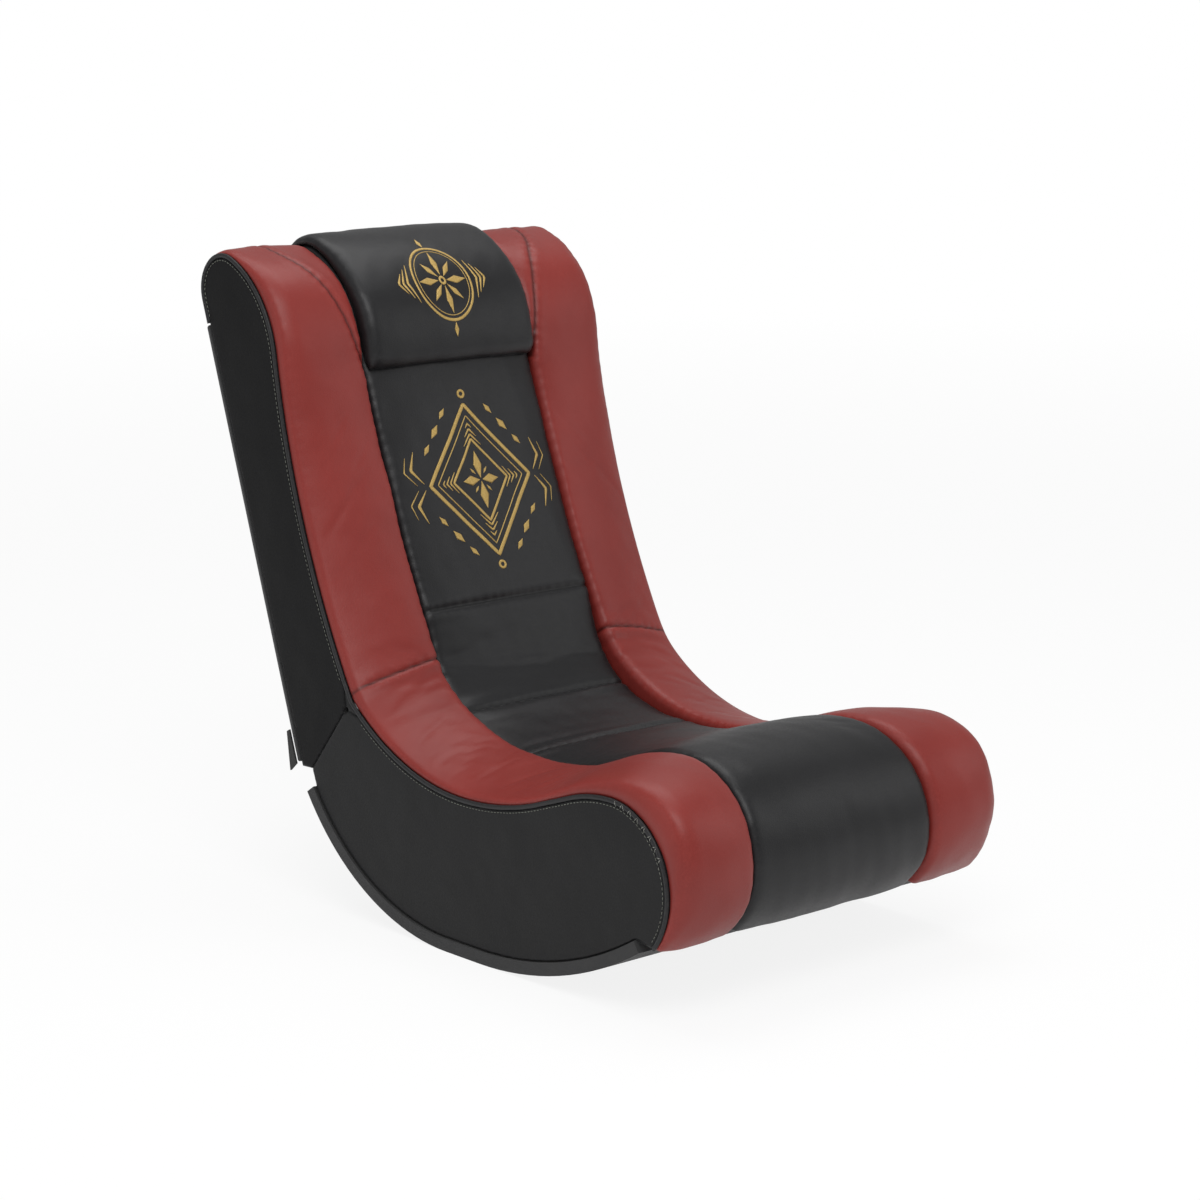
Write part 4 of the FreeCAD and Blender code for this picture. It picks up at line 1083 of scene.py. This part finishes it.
for (a, b), (c, e) in zip(corners, corners[1:]):
    count = int(math.dist((a, b), (c, e)) / 5)
    path += [(a + (c - a) * i / count, b + (e - b) * i / count) for i in range(count)]
path = np.array(path) + (-cover_width / 2, cover_top)
path = rear_point(path[:, 0], path[:, 1], np.full(len(path), cover_out + 0.35))
outwards = np.tile([0, *polar((0, 0), 1, -rear_lean)], (len(path), 1))
declare(stitch_row("rear_stitches", path, outwards, 3.6, 2.2, 0.7, 8), "backrest", STITCH)


# Gold embroidery: bands of thread laid on the cushions, in a design of plain figures
THREAD_PROFILE = ((-1.0, 0.05), (-0.62, 0.8), (0.0, 1.0), (0.62, 0.8), (1.0, 0.05))
thread_height = 0.55


class Needlework:
    """Raised thread on a cushion, along paths of (x, s) points."""

    def __init__(self, cushion):
        mesh = cushion.data
        polygons = [tuple(p.vertices) for p in mesh.polygons]
        self.cover = BVHTree.FromPolygons([tuple(c) for c in vectors(mesh, "co")], polygons)
        self.verts, self.faces = [], []

    def find(self, x, s, lift):
        """The point of the cover at (x, s), raised by lift."""
        start = place(x, s, 70.0)
        way = place(x, s, 0.0) - start
        way /= np.linalg.norm(way)
        hit = self.cover.ray_cast(Vector(start * MM), Vector(way), 0.12)
        return np.array(hit[0]) / MM - way * lift

    def band(self, path, widths, closed=False, step=2.0):
        """A band of thread along a path, its widths given from end to end."""
        p = np.array(path + [path[0]] if closed else path, float)
        t = lengths_along(p)
        count = max(3, int(t[-1] / step))
        even = np.linspace(0, t[-1], count + 1)
        q = points_at(even, t, p)
        way = np.gradient(q, axis=0)
        if closed:
            way[0] = way[-1] = q[1] - q[-2]
        way /= np.maximum(np.linalg.norm(way, axis=1), 1e-9)[:, None]
        turn = np.stack([-way[:, 1], way[:, 0]], 1)
        half = np.interp(even / t[-1], np.linspace(0, 1, len(widths)), widths) / 2
        base = len(self.verts)
        sections = list(zip(q, turn, half))[:count if closed else count + 1]
        for c, n, w in sections:
            for across, height in THREAD_PROFILE:
                spot = c + n * w * across
                self.verts.append(self.find(spot[0], spot[1], thread_height * height))
        for i in range(count):
            here, there = base + i * 5, base + (i + 1) % len(sections) * 5
            for j in range(4):
                self.faces.append((here + j, here + j + 1, there + j + 1, there + j))
            self.faces.append((here + 4, here, there, there + 4))
        if not closed:
            self.faces.append(tuple(base + j for j in (4, 3, 2, 1, 0)))
            self.faces.append(tuple(base + count * 5 + j for j in range(5)))

    def petal(self, centre, reach, width, angle):
        """A pointed figure, filled with thread."""
        self.band([polar(centre, -reach, angle), centre, polar(centre, reach, angle)],
                  [0.3, width, 0.3], step=1.2)

    def ring(self, centre, radius, width, count=48, step=2.0):
        path = [polar(centre, radius, 360 * i / count) for i in range(count)]
        self.band(path, [width, width], True, step)

    def lozenge(self, centre, wide, tall, width):
        x, s = centre
        self.band([(x, s - tall), (x + wide, s), (x, s + tall), (x - wide, s)], [width, width], True)

    def taper(self, points, width, tip=0.8):
        """An open line, pointed at both ends."""
        self.band(points, [tip, width, tip])

    def finish(self, name):
        declare(new_mesh(name, np.array(self.verts) * MM, self.faces), "backrest", GOLD)


def headrest_star():
    """A star in rings, with chevrons beside it."""
    work = Needlework(head)
    x, s = centre = (0.0, s_head + 84.0)
    for i in range(8):
        angle, small = i * 45.0, i % 2
        spot = polar(centre, 17.5 if small else 20.0, angle)
        work.petal(spot, 11.5 if small else 14.0, 7.0 if small else 9.0, angle)
    work.ring(centre, 40.0, 3.0)
    work.ring(centre, 35.5, 1.0)
    work.ring(centre, 3.6, 3.0, 20, 1.0)
    for k in (-1, 1):
        for j in range(3):
            x0, tall = x + k * (47 + 6.5 * j), 21 - 5.0 * j
            work.taper([(x0 - k * 4, s - tall), (x0 + k * 4, s), (x0 - k * 4, s + tall)], 3.6)
        work.petal((x, s + k * 49.0), 7.0, 7.0, 90)
    work.finish("headrest_embroidery")


def panel_lozenges():
    """Nested lozenges with a small star, ringed by chevrons and petals."""
    work = Needlework(strip[2])
    x, s = centre = (0.0, (s_lumbar + s_head) / 2)
    for wide, tall, width in ((74, 94, 5.0), (63, 80, 1.6), (40, 51, 3.4)):
        work.lozenge(centre, wide, tall, width)
    for i in range(4):
        a, b = math.radians(i * 90), math.radians(i * 90 + 45)
        spot = (x + 14 * math.cos(a), s + 19 * math.sin(a))
        work.petal(spot, 17 if i % 2 else 12, 13, i * 90)
        aside = (13 * math.cos(b), 16 * math.sin(b))
        work.petal((x + aside[0], s + aside[1]), 5, 3.4, math.degrees(math.atan2(aside[1], aside[0])))
    for k in (-1, 1):
        for j in range(3):
            arm = 13 - 4.2 * j
            s0, x0 = s + k * (57 + 6.5 * j), x + k * (45 + 5.2 * j)
            foot_s, foot_x = s0 - k * arm * 1.1, x0 - k * arm * 0.7
            work.taper([(x - arm, foot_s), (x, s0), (x + arm, foot_s)], 3.0)
            work.taper([(foot_x, s - arm), (x0, s), (foot_x, s + arm)], 2.6)
        for m in (-1, 1):
            for at, reach, wide in ((0.28, 8.0, 7.0), (0.5, 10.0, 9.0), (0.72, 8.0, 7.0)):
                work.petal((x + m * (88 - 74 * at), s + k * (18 + 94 * at)), reach, wide, -m * k * 51.8)
            outer = ((82, 4), (96, 22), (88, 44)), ((92, 3), (106, 20), (101, 38))
            for points, width, tip in zip(outer, (4.6, 2.0), (0.8, 0.6)):
                work.taper([(x + m * across, s + k * along) for across, along in points], width, tip)
        work.ring((x, s + k * 107), 4.2, 3.4, 16, 1.0)
    work.finish("panel_embroidery")


headrest_star()
panel_lozenges()

# The solids that stay: a finish for each
FINISH = {"plywood": PLY, "foam": FOAM, "zinc_steel": ZINC, "pin_steel": PIN_STEEL,
          "elastic_webbing": ELASTIC, "black_webbing": WEBBING, "black_sole_cloth": SOLE,
          "black_rear_cloth": REAR, "black_piping": PIPING, "red_leatherette": RED,
          "black_leatherette": SIDE_BLACK}
for part in frame["record"]["subparts"]:
    node = frame["nodes"][part["node"]]
    # The side and sole boards get the near-black cloth: painted shade for the gaps between the skins
    wrapped = "side_board" in part["node"] or "sole_board" in part["node"]
    node.data.materials.clear()
    node.data.materials.append(GAP_SHADE_BLACK if wrapped else FINISH[part["material_slot"]])

# Stage, light and camera
floor_glow, far_glow, mirrored_glow = 0.86, 1.0, 0.5
glow_from, glow_to = 1.0, 6.0
sky_strength = 0.42


def joined(tree, kind, *sources, **values):
    """A node with its first inputs linked to the sources."""
    node = add(tree, kind, **values)
    for socket, source in zip(node.inputs, sources):
        tree.links.new(source, socket)
    return node.outputs[0] if node.outputs else None


def pale_floor():
    """A pale floor that keeps the shadow near the chair and goes over into white further off."""
    ground = bpy.data.materials.new("pale_floor")
    ground.use_nodes = True
    tree = ground.node_tree
    tree.nodes.clear()
    rays = add(tree, "ShaderNodeLightPath").outputs
    geometry = add(tree, "ShaderNodeNewGeometry")
    far = add(tree, "ShaderNodeVectorMath", operation="LENGTH")
    tree.links.new(geometry.outputs["Position"], far.inputs[0])
    whiter = add(tree, "ShaderNodeMapRange")
    for socket, number in zip(whiter.inputs[1:5], (glow_from, glow_to, floor_glow, far_glow)):
        socket.default_value = number
    tree.links.new(far.outputs["Value"], whiter.inputs["Value"])
    seen = joined(tree, "ShaderNodeMath", rays["Is Camera Ray"], whiter.outputs["Result"],
                  operation="MULTIPLY")
    mirrored = joined(tree, "ShaderNodeMath", rays["Is Glossy Ray"], rays["Is Transmission Ray"],
                      operation="MAXIMUM")
    dimmed = add(tree, "ShaderNodeMath", operation="MULTIPLY")
    dimmed.inputs[1].default_value = mirrored_glow
    tree.links.new(mirrored, dimmed.inputs[0])
    either = joined(tree, "ShaderNodeMath", seen, dimmed.outputs[0], operation="MAXIMUM")
    diffuse = joined(tree, "ShaderNodeBsdfDiffuse", Color=(0.93, 0.93, 0.93, 1))
    glow = joined(tree, "ShaderNodeEmission", Color=(1, 1, 1, 1), Strength=1.0)
    surface = joined(tree, "ShaderNodeMixShader", either, diffuse, glow)
    joined(tree, "ShaderNodeOutputMaterial", surface)
    return ground


bpy.ops.mesh.primitive_plane_add(size=90, location=(0, 0, 0))
floor = bpy.context.object
floor.name = "floor"
floor.data.materials.append(pale_floor())

world = bpy.data.worlds.new("studio")
bpy.context.scene.world = world
world.use_nodes = True
tree = world.node_tree
tree.nodes.clear()
sky = joined(tree, "ShaderNodeBackground", Color=(1, 1, 1, 1), Strength=sky_strength)
white = joined(tree, "ShaderNodeBackground", Color=(1, 1, 1, 1), Strength=1.0)
seen = add(tree, "ShaderNodeLightPath").outputs["Is Camera Ray"]
joined(tree, "ShaderNodeOutputWorld", joined(tree, "ShaderNodeMixShader", seen, sky, white))


def aim(obj, way):
    obj.rotation_mode = "QUATERNION"
    obj.rotation_quaternion = way.to_track_quat("-Z", "Y")


def lamp(name, place_at, target, size, power):
    data = bpy.data.lights.new(name, "AREA")
    data.shape = "RECTANGLE"
    data.size, data.size_y = size
    data.energy = power
    obj = new_object(name, data)
    obj.location = place_at
    aim(obj, Vector(target) - Vector(place_at))


lamp("key", (-1.2, -1.6, 2.6), (0, 0, 0.35), (1.8, 1.4), 42)
lamp("fill", (1.9, -1.9, 1.5), (0, 0, 0.3), (1.6, 1.6), 10)
lamp("top", (0.3, 0.6, 2.8), (0, 0, 0.4), (2.2, 1.4), 28)
lamp("side", (-2.6, 0.3, 1.2), (0, 0, 0.3), (1.2, 1.4), 5)

azimuth, elevation = math.radians(-41.7117), math.radians(11.5213)
level = math.cos(elevation)
camera = new_object("camera", bpy.data.cameras.new("camera"))
camera.data.lens = 97.2
camera.data.sensor_width = 36.0
camera.location = (-2.39138, -2.69929, 1.09252)
aim(camera, Vector((-math.sin(azimuth) * level, math.cos(azimuth) * level, -math.sin(elevation))))
bpy.context.scene.camera = camera
bpy.context.scene.view_settings.view_transform = "Standard"
